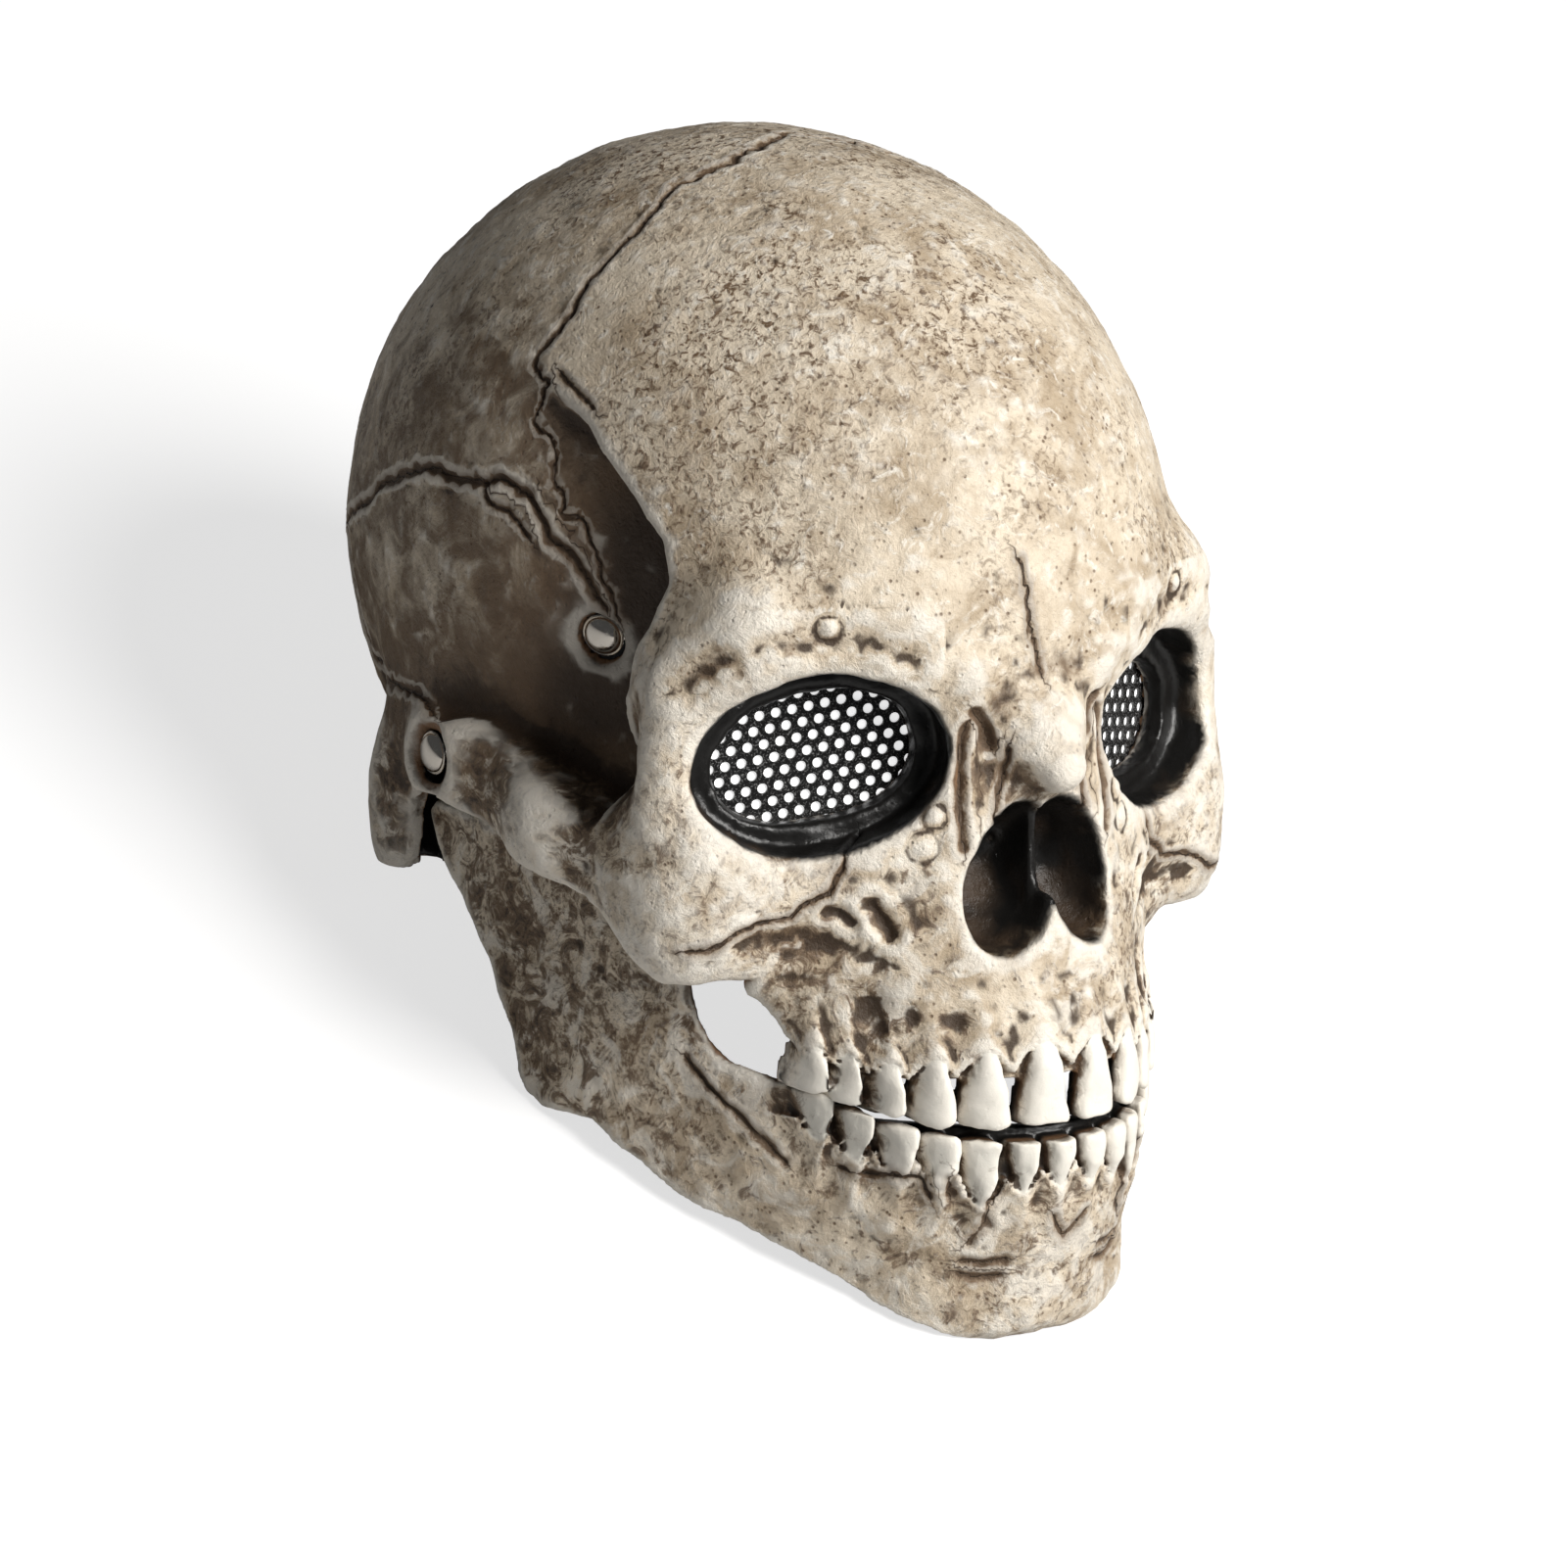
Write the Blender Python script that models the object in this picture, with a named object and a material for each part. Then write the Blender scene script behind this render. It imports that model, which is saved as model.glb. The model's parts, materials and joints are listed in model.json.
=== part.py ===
"""Full-head skull mask: a cast skull shell, a jaw that swings on two ear rivets, eye screens and rivets.

The skull is drawn upright in millimetres, with the face towards -Y and z = 0 level with the ears, as a
field of bone masses and hollows. It is then tipped back on its chin and nape, as it stands on a table.
"""
import bpy
import bmesh
import math
import numpy as np
from collections import namedtuple
from mathutils import Matrix, Vector

# Driving sizes, millimetres
MM = 0.001
WALL = 3.3
CELL = 1.6
SKULL_TRIANGLES = 5400
JAW_TRIANGLES = 2100
CAST_GAP = 0.4

# Resting on chin and nape: two points of the table line in the side view, y and z
CHIN_REST = (-119.0, -112.6)
NAPE_REST = (70.4, -22.3)
REST_SLOPE = (NAPE_REST[1] - CHIN_REST[1]) / (NAPE_REST[0] - CHIN_REST[0])
REST_TILT = math.atan(REST_SLOPE)
CENTRE_SHIFT = -136.4

# Jaw pivot at the ear rivets, y and z in the side view
PIVOT = (-8.5, 11.0)
EAR_FACE_X = 86.2
EAR_INNER_X = 80.6
JAW_HALF_WIDTH = 76.4
JAW_CLEARANCE = 1.3
JAW_ROOM = 9.0
TAB_ROOM = 5.4

Ellipsoid = namedtuple("Ellipsoid", "name centre radii blend")
Bar = namedtuple("Bar", "name start end start_radius end_radius tall blend")
Tooth = namedtuple("Tooth", "x width gum edge")

# Every mass is given for the side x > 0 and mirrored by the field
VAULT = Ellipsoid("vault", (0, -10.9, 53), (86.4, 111.8, 95.6), 0)
BRAINCASE = Ellipsoid("braincase", (0, 4, 62), (87, 102, 84), 3)
TEMPLE_WALL_X = 65.0
TEMPLE_WALL_Y = -64
TEMPLE_WALL_FLARE = 0.11
BONE_MASSES = (
    Bar("glabella", (0, -100, 50), (26, -100, 50), 16, 13, 1, 14),
    Bar("inner_brow_bulge", (15, -108, 42), (26, -107, 47), 9, 8, 1, 8),
    Bar("brow", (26, -101, 52), (56, -92, 50), 10, 9, 1, 14),
    Bar("outer_brow", (56, -90, 47), (66, -79, 37), 9, 8, 1, 12),
    Ellipsoid("cheekbone", (60, -80, -8), (21.5, 18, 22), 12),
    Ellipsoid("cheek_edge", (63, -80, -20), (16, 14, 12), 8),
    Bar("arch_front", (64, -78, -10), (79, -48, 0), 12, 8, 1.25, 14),
    Bar("arch_middle", (79, -48, 0), (79, -12, 9), 8, 7.5, 1.25, 12),
    Bar("arch_root", (79, -12, 9), (74, 14, 8), 7.5, 8, 1.3, 14),
    Ellipsoid("ear_boss", (78, -8.5, 10), (9.5, 14, 13), 8),
    Ellipsoid("mastoid", (73.5, 20, -10), (10.5, 12, 20), 12),
    Ellipsoid("occiput", (0, 56, 2), (46, 33, 27.5), 12),
)
NASAL_BONES = (
    Bar("nasal_root", (0, -106, 40), (0, -121, 25), 8.5, 8, 1, 8),
    Bar("nasal_tip", (0, -121, 25), (0, -130, 16), 8, 8, 1, 6),
)

# Socket frame: centre, turn about z and tilt of its long axis, in degrees
SOCKET_CENTRE = (44.2, -99.5, 20)
SOCKET_TURN = 22
SOCKET_TILT = -9
SOCKET_RADII = (28.6, 24, 20.5)
SOCKET_DEPTH = 9.0
SOCKET_RIM = 5.8
ROLL_RADII = (25.2, 17.4)
ROLL_TUBE = 3.6
SCREEN_RADII = (23.4, 15.4)
SCREEN_LAP = 2.0
SCREEN_FRONT = 11.1
SCREEN_THICK = 1.2
SCREEN_PITCH = 5.6
SCREEN_HOLE = 1.9
NOSE_CENTRE = (9.4, -128, -6)
NOSE_RADII = (10.4, 22, 17.5)
NOSE_SPLAY = 16
SEPTUM_FRONT = -119
SEPTUM_HALF = 1.2

# Faces of maxilla and jaw are parabolas y = front + curve * x * x; rows are z, front, curve
MAXILLA_ROWS = ((-62, -134.5, 0.0160), (-47, -134, 0.0150), (-37, -131.5, 0.0141), (-24, -129, 0.0137),
                (-10, -126.5, 0.0140), (5, -124, 0.0145), (20, -119, 0.0150), (34, -111, 0.0150))
JAW_ROWS = ((-117, -120, 0.0181), (-110, -125, 0.0181), (-103, -127, 0.0181), (-94, -130, 0.0181),
            (-80, -134.5, 0.0181), (-64, -136, 0.0183))

# Side-view outlines, y and z
FOSSA_OUTLINE = ((-64, 5), (-65, 13), (-64, 26), (-66, 33), (-69, 40), (-73, 50), (-76, 59), (-74, 67),
                 (-64, 78), (-50, 90), (-36, 97), (0, 98), (20, 90), (30, 60), (22, 34), (8, 24), (-8, 20),
                 (-23, 20.5), (-41, 14.5), (-56, 8))
SKULL_BELOW = ((-170, -60), (-112, -59), (-100, -52.5), (-98, -46), (-94, -43), (-90, -36), (-88, -30),
               (-86, -28.5), (-84, -28.5), (-77, -21), (-68, -15), (-47, -8), (-30, -4), (-12, 2), (2, 1),
               (8, -4), (11, -18), (15, -21.5), (30, -22), (42, -26), (46, -60), (46, -200), (-170, -200))
CHEEK_EDGE = (57, -28.5)
JAW_OUTLINE = ((-170, -63.5), (-120, -63.2), (-108, -59), (-98, -54), (-90, -53), (-84, -52.5), (-78.5, -51),
               (-74, -47), (-71.2, -42), (-70, -37), (-69, -29), (-66, -20), (-56, -13), (-40, -10), (-24, -7),
               (-12, -4.5), (8, -4), (11, -7), (7, -14), (-3, -25), (-14, -40), (-20.5, -54), (-23.3, -62),
               (-26, -66.5), (-31, -69), (-45, -70), (-56, -76), (-69, -84), (-80, -88.3), (-90, -93),
               (-99, -98.7), (-105, -103), (-110, -105.8), (-115.5, -108.8), (-118, -112.5), (-118, -130),
               (-170, -130))
JAW_SWEEP = ((-80, -46), (-74, -24), (-60, -8), (-40, -5), (-24, -2), (-14, 6), (10, 6), (16, 4), (18, -8),
             (10, -24), (4, -50), (-16, -80), (-60, -80))
TAB_SWEEP = ((-26, -8), (-17, 6), (-14.9, 11), (-13, 15.4), (-8.5, 17.4), (-4, 15.4), (-2.1, 11), (6, 0), (10, -8))

UPPER_TEETH = (Tooth(7.0, 12.4, -43.5, -60.5), Tooth(19.4, 10.6, -45.0, -60.0), Tooth(28.8, 9.6, -46.0, -59.5),
               Tooth(36.2, 9.4, -45.5, -58.5), Tooth(42.2, 9.2, -44.5, -57.0), Tooth(46.8, 8.8, -43.5, -55.0))
LOWER_TEETH = (Tooth(4.2, 8.0, -73.5, -63.0), Tooth(12.2, 8.2, -74.5, -63.0), Tooth(20.2, 8.8, -77.0, -62.5),
               Tooth(27.4, 8.4, -73.5, -62.0), Tooth(33.8, 8.6, -71.5, -60.5), Tooth(39.8, 8.8, -68.5, -57.5),
               Tooth(44.8, 8.8, -64.5, -54.5))
TOOTH_RAISE = 2.6

# Rivets: dome head, shank and the washer behind
HEAD_RADIUS = 5.0
HEAD_HEIGHT = 2.6
SHANK_RADIUS = 1.9
WASHER_RADIUS = 4.4
WASHER_THICK = 0.8
TEMPLE_RIVET = (68.2, -51.0, 43.0)

# Jaw tab: rows from foot to head are z, outer x, half width in y, y
TAB_ROWS = ((-26, 71.6, 8, -17), (-5, 71.6, 8, -12), (1, 76.0, 6.5, -9.5), (5, 79.9, 5.6, -8.5), (11, 79.9, 5.6, -8.5))
TAB_THICK = 2.0
TAB_HOLE = 2.4


def clear_scene():
    for item in list(bpy.data.objects):
        bpy.data.objects.remove(item, do_unlink=True)


def paint(name, colour, roughness, metallic=0.0):
    material = bpy.data.materials.new(name)
    material.use_nodes = True
    shader = material.node_tree.nodes["Principled BSDF"]
    shader.inputs["Base Color"].default_value = (*colour, 1.0)
    shader.inputs["Roughness"].default_value = roughness
    shader.inputs["Metallic"].default_value = metallic
    return material


def smooth_min(a, b, blend):
    if blend <= 0:
        return np.minimum(a, b)
    near = np.maximum(blend - np.abs(a - b), 0) / blend
    return np.minimum(a, b) - near * near * blend / 4


def smooth_max(a, b, blend):
    return -smooth_min(-a, -b, blend)


def ellipsoid(place, centre, radii):
    parts = [(place[i] - centre[i]) / radii[i] for i in range(3)]
    reach = np.sqrt(sum(p * p for p in parts))
    slope = np.sqrt(sum((p / r) ** 2 for p, r in zip(parts, radii))) + 1e-9
    return reach * (reach - 1) / slope


def bar(place, row):
    """A round bar from start to end; tall stretches it in height."""
    squash = np.array((1, 1, 1 / row.tall))
    start = np.array(row.start) * squash
    along = np.array(row.end) * squash - start
    offset = [place[i] * squash[i] - start[i] for i in range(3)]
    share = np.clip(sum(offset[i] * along[i] for i in range(3)) / along.dot(along), 0, 1)
    off = sum((offset[i] - share * along[i]) ** 2 for i in range(3))
    return np.sqrt(off) - (row.start_radius + (row.end_radius - row.start_radius) * share)


def mass(place, row):
    if isinstance(row, Bar):
        return bar(place, row)
    return ellipsoid(place, row.centre, row.radii)


def side_outline(y, z, outline):
    """Signed distance in the side view to a closed outline, negative inside."""
    nearest = np.full(y.shape, 1e9, dtype=np.float32)
    inside = np.zeros(y.shape, dtype=bool)
    for (y0, z0), (y1, z1) in zip(outline, outline[1:] + outline[:1]):
        dy, dz = y1 - y0, z1 - z0
        share = np.clip(((y - y0) * dy + (z - z0) * dz) / (dy * dy + dz * dz), 0, 1)
        nearest = np.minimum(nearest, (y - y0 - share * dy) ** 2 + (z - z0 - share * dz) ** 2)
        if dz:
            crosses = ((z0 > z) != (z1 > z)) & (y < y0 + dy * (z - z0) / dz)
            inside ^= crosses
    return np.where(inside, -1, 1) * np.sqrt(nearest)


def bowed_face(place, rows):
    """Distance to a face bowed round the teeth, negative behind it."""
    heights = [row[0] for row in rows]
    front = np.interp(place[2], heights, [row[1] for row in rows])
    curve = np.interp(place[2], heights, [row[2] for row in rows])
    return (front + curve * place[0] ** 2 - place[1]) / np.sqrt(1 + (2 * curve * place[0]) ** 2)


def teeth_relief(place, rows, teeth):
    """How far the tooth crowns stand out of the gum: wide at the biting edge, narrow at the gum."""
    heights = [row[0] for row in rows]
    curve = np.interp(place[2], heights, [row[2] for row in rows])
    raised = np.zeros(place[0].shape, dtype=np.float32)
    for tooth in teeth:
        along = (place[0] - tooth.x) * np.sqrt(1 + (2 * curve * tooth.x) ** 2)
        share = (place[2] - tooth.edge) / (tooth.gum - tooth.edge)
        half = tooth.width / 2 * (1 - 0.45 * np.clip(share, 0, 1) ** 2)
        reach = np.abs(along / half) ** 3 + np.abs(2 * share - 1) ** 4
        raised = np.maximum(raised, TOOTH_RAISE * np.sqrt(np.clip(1 - reach, 0, 1)))
    return raised


def socket_frame(place):
    """Coordinates along, into and up the eye socket."""
    x, y, z = (place[i] - SOCKET_CENTRE[i] for i in range(3))
    turn, tilt = math.radians(SOCKET_TURN), math.radians(SOCKET_TILT)
    along = x * math.cos(turn) + y * math.sin(turn)
    depth = -x * math.sin(turn) + y * math.cos(turn)
    return along * math.cos(tilt) + z * math.sin(tilt), depth, -along * math.sin(tilt) + z * math.cos(tilt)


def oval_ring(along, depth, up, radii, depth_at, tube):
    reach = np.sqrt((along / radii[0]) ** 2 + (up / radii[1]) ** 2)
    return np.sqrt(((reach - 1) * min(radii)) ** 2 + (depth - depth_at) ** 2) - tube


def skull_surface(place):
    """Field of the skull's outer skin without its teeth, negative in the bone."""
    half = (np.abs(place[0]), place[1], place[2])
    field = ellipsoid(half, VAULT.centre, VAULT.radii)
    for row in BONE_MASSES:
        field = smooth_min(field, mass(half, row), row.blend)
    along, depth, up = socket_frame(half)
    rim_radii = (SOCKET_RADII[0] + 3.8, SOCKET_RADII[2] + 4.6)
    field = smooth_min(field, oval_ring(along, depth, up, rim_radii, 4, SOCKET_RIM), 12)
    maxilla = smooth_max(bowed_face(half, MAXILLA_ROWS), half[2] - 24, 16)
    maxilla = smooth_max(smooth_max(maxilla, half[1] + 70, 4), half[0] - 54, 8)
    maxilla = np.maximum(maxilla, -70 - half[2])
    field = smooth_min(field, maxilla, 14)
    for row in NASAL_BONES:
        field = smooth_min(field, bar(half, row), row.blend)
    temple = half[0] - TEMPLE_WALL_X - TEMPLE_WALL_FLARE * (half[1] - TEMPLE_WALL_Y)
    outside = -smooth_min(ellipsoid(half, BRAINCASE.centre, BRAINCASE.radii), temple, 8)
    fossa = smooth_max(side_outline(half[1], half[2], FOSSA_OUTLINE), outside, BRAINCASE.blend)
    field = smooth_max(field, -fossa, 6)
    socket = smooth_max(ellipsoid((along, depth, up), (0, 0, 0), SOCKET_RADII), depth - SOCKET_DEPTH, 4)
    field = smooth_max(field, -socket, 3)
    field = smooth_min(field, oval_ring(along, depth, up, ROLL_RADII, SOCKET_DEPTH - 0.6, ROLL_TUBE), 2)
    splay = math.radians(NOSE_SPLAY)
    nose_x = (half[0] - NOSE_CENTRE[0]) * math.cos(splay) + (half[2] - NOSE_CENTRE[2]) * math.sin(splay)
    nose_z = -(half[0] - NOSE_CENTRE[0]) * math.sin(splay) + (half[2] - NOSE_CENTRE[2]) * math.cos(splay)
    nose = ellipsoid((nose_x, half[1] - NOSE_CENTRE[1], nose_z), (0, 0, 0), NOSE_RADII)
    septum = np.maximum(half[0] - SEPTUM_HALF, SEPTUM_FRONT - half[1])
    return smooth_max(field, -smooth_max(nose, -septum, 2), 2.5)


def jaw_half_width(y):
    bowed = np.sqrt(np.maximum(y + 133, 0) / 0.0181)
    return np.minimum(JAW_HALF_WIDTH, bowed)


def skull_shell(place):
    skin = skull_surface(place)
    half = (np.abs(place[0]), place[1], place[2])
    shell = np.maximum(skin - teeth_relief(half, MAXILLA_ROWS, UPPER_TEETH), -(skin + WALL))
    shell = smooth_max(shell, -side_outline(place[1], place[2], SKULL_BELOW), 1.2)
    cheek = np.maximum(CHEEK_EDGE[0] - half[0], half[2] - CHEEK_EDGE[1])
    shell = smooth_max(shell, -cheek, 1.2)
    reach = jaw_half_width(place[1]) + JAW_CLEARANCE
    jaw_way = np.maximum(side_outline(place[1], place[2], JAW_SWEEP), half[0] - reach)
    jaw_way = np.maximum(jaw_way, JAW_HALF_WIDTH - JAW_ROOM - half[0])
    tab_way = np.maximum(side_outline(place[1], place[2], TAB_SWEEP), half[0] - EAR_INNER_X)
    tab_way = np.maximum(tab_way, EAR_INNER_X - TAB_ROOM - half[0])
    return np.maximum(np.maximum(shell, -jaw_way), -tab_way)


def jaw_surface(place):
    """Field of the jaw's outer skin without its teeth, as if the jaw were solid."""
    half = (np.abs(place[0]), place[1], place[2])
    field = smooth_max(bowed_face(half, JAW_ROWS), half[0] - JAW_HALF_WIDTH, 12)
    chin = Bar("chin", (0, -112, -101), (19, -108, -103), 13, 10.5, 1, 8)
    field = smooth_min(field, bar(half, chin), chin.blend)
    return smooth_max(field, -115 - half[2], 8)


def jaw_shell(place):
    skin = jaw_surface(place)
    half = (np.abs(place[0]), place[1], place[2])
    shell = np.maximum(skin - teeth_relief(half, JAW_ROWS, LOWER_TEETH), -(skin + WALL))
    return smooth_max(shell, side_outline(place[1], place[2], JAW_OUTLINE), 1.2)


def fill_pinches(inside):
    """Fills grid corners wherever bone would meet bone, or air meet air, only across a diagonal."""
    for sweep in range(6):
        before = inside.sum()
        for axis in range(3):
            flat = np.moveaxis(inside, axis, 0)
            a, b, c, d = flat[:, :-1, :-1], flat[:, 1:, :-1], flat[:, :-1, 1:], flat[:, 1:, 1:]
            pinch = (a == d) & (b == c) & (a != b)
            for corner in (a, b, c, d):
                corner |= pinch
        for flip_y in (1, -1):
            for flip_z in (1, -1):
                cube = inside[:, ::flip_y, ::flip_z]
                near, far = cube[:-1, :-1, :-1], cube[1:, 1:, 1:]
                others = [cube[i:i + cube.shape[0] - 1, j:j + cube.shape[1] - 1, k:k + cube.shape[2] - 1]
                          for i, j, k in ((1, 0, 0), (0, 1, 0), (0, 0, 1), (1, 1, 0), (1, 0, 1), (0, 1, 1))]
                full = np.logical_and.reduce(others)
                empty = ~np.logical_or.reduce(others)
                pinch = (near == far) & np.where(near, empty, full)
                for corner in [near, far] + others:
                    corner |= pinch
        if inside.sum() == before:
            break


def skin_of(field_function, low, high):
    """Closed mesh where the field is zero, one vertex in each grid cell that it crosses."""
    axes = [np.arange(low[i], high[i] + CELL, CELL, dtype=np.float32) for i in range(3)]
    field = field_function(np.meshgrid(*axes, indexing="ij")).astype(np.float32)
    inside = field < 0
    fill_pinches(inside)
    field = np.where(inside, np.minimum(field, -0.05 * CELL), np.maximum(field, 0.02 * CELL))
    cells = tuple(n - 1 for n in field.shape)
    corners = [(i, j, k) for i in (0, 1) for j in (0, 1) for k in (0, 1)]
    count = np.zeros(cells, dtype=np.int8)
    for i, j, k in corners:
        count += inside[i:cells[0] + i, j:cells[1] + j, k:cells[2] + k]
    crossed = (count > 0) & (count < 8)
    index = np.full(cells, -1, dtype=np.int64)
    index[crossed] = np.arange(crossed.sum())
    cell = np.argwhere(crossed)
    total = np.zeros((len(cell), 3))
    hits = np.zeros(len(cell))
    for corner in corners:
        for axis in range(3):
            if corner[axis]:
                continue
            first = cell + corner
            second = first.copy()
            second[:, axis] += 1
            a = field[tuple(first.T)]
            b = field[tuple(second.T)]
            cut = (a < 0) != (b < 0)
            point = np.array(corner, dtype=float) + np.zeros((len(cell), 1))
            point[:, axis] += np.where(cut, a / np.where(cut, a - b, 1), 0)
            total[cut] += point[cut]
            hits[cut] += 1
    points = np.array([axes[i][0] for i in range(3)]) + (cell + total / hits[:, None]) * CELL
    faces = []
    for axis in range(3):
        ahead = [slice(None)] * 3
        behind = [slice(None)] * 3
        ahead[axis] = slice(1, None)
        behind[axis] = slice(0, -1)
        edge = np.argwhere(inside[tuple(behind)] != inside[tuple(ahead)])
        others = [i for i in range(3) if i != axis]
        ring = []
        for step_a, step_b in ((0, 0), (1, 0), (1, 1), (0, 1)):
            around = edge.copy()
            around[:, others[0]] -= step_a
            around[:, others[1]] -= step_b
            ring.append(index[tuple(around.T)])
        ring = np.stack(ring, axis=1)
        flip = inside[tuple(edge.T)] == (axis == 1)
        ring[flip] = ring[flip][:, ::-1]
        faces.append(ring)
    return points, np.concatenate(faces)


def add_object(name, mesh, material):
    mesh.materials.clear()
    mesh.materials.append(material)
    item = bpy.data.objects.new(name, mesh)
    bpy.context.collection.objects.link(item)
    return item


def keep_largest(model):
    """Drops every loose bit but the largest one."""
    model.verts.ensure_lookup_table()
    seen = set()
    bodies = []
    for first in model.verts:
        if first in seen:
            continue
        seen.add(first)
        body = [first]
        for vert in body:
            for edge in vert.link_edges:
                other = edge.other_vert(vert)
                if other not in seen:
                    seen.add(other)
                    body.append(other)
        bodies.append(body)
    bodies.sort(key=len)
    for body in bodies[:-1]:
        bmesh.ops.delete(model, geom=body, context="VERTS")


def add_cast(name, field_function, low, high, triangles, material):
    points, faces = skin_of(field_function, low, high)
    mesh = bpy.data.meshes.new(name)
    mesh.from_pydata((points * MM).tolist(), [], faces.tolist())
    model = bmesh.new()
    model.from_mesh(mesh)
    keep_largest(model)
    model.to_mesh(mesh)
    model.free()
    item = add_object(name, mesh, material)
    mesh.shade_smooth()
    thin = item.modifiers.new("fewer_faces", "DECIMATE")
    thin.ratio = triangles / (2 * len(faces))
    return item


def finish_bmesh(name, model, material):
    bmesh.ops.remove_doubles(model, verts=model.verts, dist=1e-6)
    bmesh.ops.recalc_face_normals(model, faces=model.faces)
    mesh = bpy.data.meshes.new(name)
    model.to_mesh(mesh)
    model.free()
    return add_object(name, mesh, material)


def turned(name, profile, sides, material):
    """A solid turned about its own x axis from a profile of (x, radius) rows, both ends on the axis."""
    model = bmesh.new()
    verts = [model.verts.new((x * MM, 0, radius * MM)) for x, radius in profile]
    edges = [model.edges.new(pair) for pair in zip(verts, verts[1:])]
    bmesh.ops.spin(model, geom=verts + edges, axis=(1, 0, 0), cent=(0, 0, 0), steps=sides, angle=math.tau,
                   use_merge=True)
    return finish_bmesh(name, model, material)


def prism(name, outline, start, end, material):
    """An outline of (along, up) rows drawn through from start to end on the local y axis."""
    model = bmesh.new()
    base = model.faces.new([model.verts.new((a * MM, start * MM, b * MM)) for a, b in outline])
    moved = bmesh.ops.extrude_face_region(model, geom=[base])
    new_verts = [v for v in moved["geom"] if isinstance(v, bmesh.types.BMVert)]
    bmesh.ops.translate(model, vec=(0, (end - start) * MM, 0), verts=new_verts)
    return finish_bmesh(name, model, material)


def oval(radii, sides):
    return [(radii[0] * math.cos(math.tau * i / sides), radii[1] * math.sin(math.tau * i / sides))
            for i in range(sides)]


def as_cutter(item):
    item.hide_render = True
    item.display_type = "WIRE"
    return item


def cut(item, cutter):
    hole = item.modifiers.new("cut_" + cutter.name, "BOOLEAN")
    hole.operation = "DIFFERENCE"
    hole.object = as_cutter(cutter)


def socket_matrix(side):
    """Places a socket-frame piece: side is 1 at +x and -1 at -x."""
    turn = Matrix.Rotation(side * math.radians(SOCKET_TURN), 4, "Z")
    tilt = Matrix.Rotation(-side * math.radians(SOCKET_TILT), 4, "Y")
    centre = Vector((side * SOCKET_CENTRE[0], SOCKET_CENTRE[1], SOCKET_CENTRE[2])) * MM
    return Matrix.Translation(centre) @ turn @ tilt


def outward(place):
    """Outward direction of the braincase wall at a place on it."""
    centre, radii = BRAINCASE.centre, BRAINCASE.radii
    return Vector([(place[i] - centre[i]) / radii[i] ** 2 for i in range(3)]).normalized()


def rivet_matrix(place, direction):
    return Matrix.Translation(Vector(place) * MM) @ Vector(direction).to_track_quat("X", "Z").to_matrix().to_4x4()


def rivet_profile(through):
    """Head outside at x > 0, shank through the wall, washer behind it; rows are x and radius."""
    dome = [(HEAD_HEIGHT * math.cos(a), HEAD_RADIUS * math.sin(a)) for a in (0, 0.55, 1.0, 1.35)]
    back = -through
    return dome + [(0.3, HEAD_RADIUS), (0, HEAD_RADIUS - 0.3), (0, SHANK_RADIUS), (back, SHANK_RADIUS),
                   (back, WASHER_RADIUS), (back - WASHER_THICK, WASHER_RADIUS), (back - WASHER_THICK, 0)]


def add_screen(name, side, material):
    """Thin black plate with round holes in staggered rows, cut as hexagons."""
    plate_radii = [r + SCREEN_LAP - CAST_GAP for r in SCREEN_RADII]
    screen = prism(name, oval(plate_radii, 28), SCREEN_FRONT, SCREEN_FRONT + SCREEN_THICK, material)
    model = bmesh.new()
    rise = SCREEN_PITCH * math.sin(math.radians(60))
    rows = int(SCREEN_RADII[1] // rise)
    limit = [r - SCREEN_HOLE - 0.6 for r in SCREEN_RADII]
    for row in range(-rows, rows + 1):
        for column in range(-5, 6):
            a = (column + 0.5 * (row % 2)) * SCREEN_PITCH
            b = row * rise
            if (a / limit[0]) ** 2 + (b / limit[1]) ** 2 > 1:
                continue
            spot = Matrix.Translation(Vector((a, SCREEN_FRONT + SCREEN_THICK / 2, b)) * MM)
            spin = Matrix.Rotation(math.pi / 2, 4, "X")
            bmesh.ops.create_cone(model, cap_ends=True, segments=6, radius1=SCREEN_HOLE * MM,
                                  radius2=SCREEN_HOLE * MM, depth=3 * SCREEN_THICK * MM, matrix=spot @ spin)
    holes = finish_bmesh(name + "_holes", model, material)
    cut(screen, holes)
    for item in (screen, holes):
        item.matrix_world = socket_matrix(side)
    return screen, holes


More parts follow.
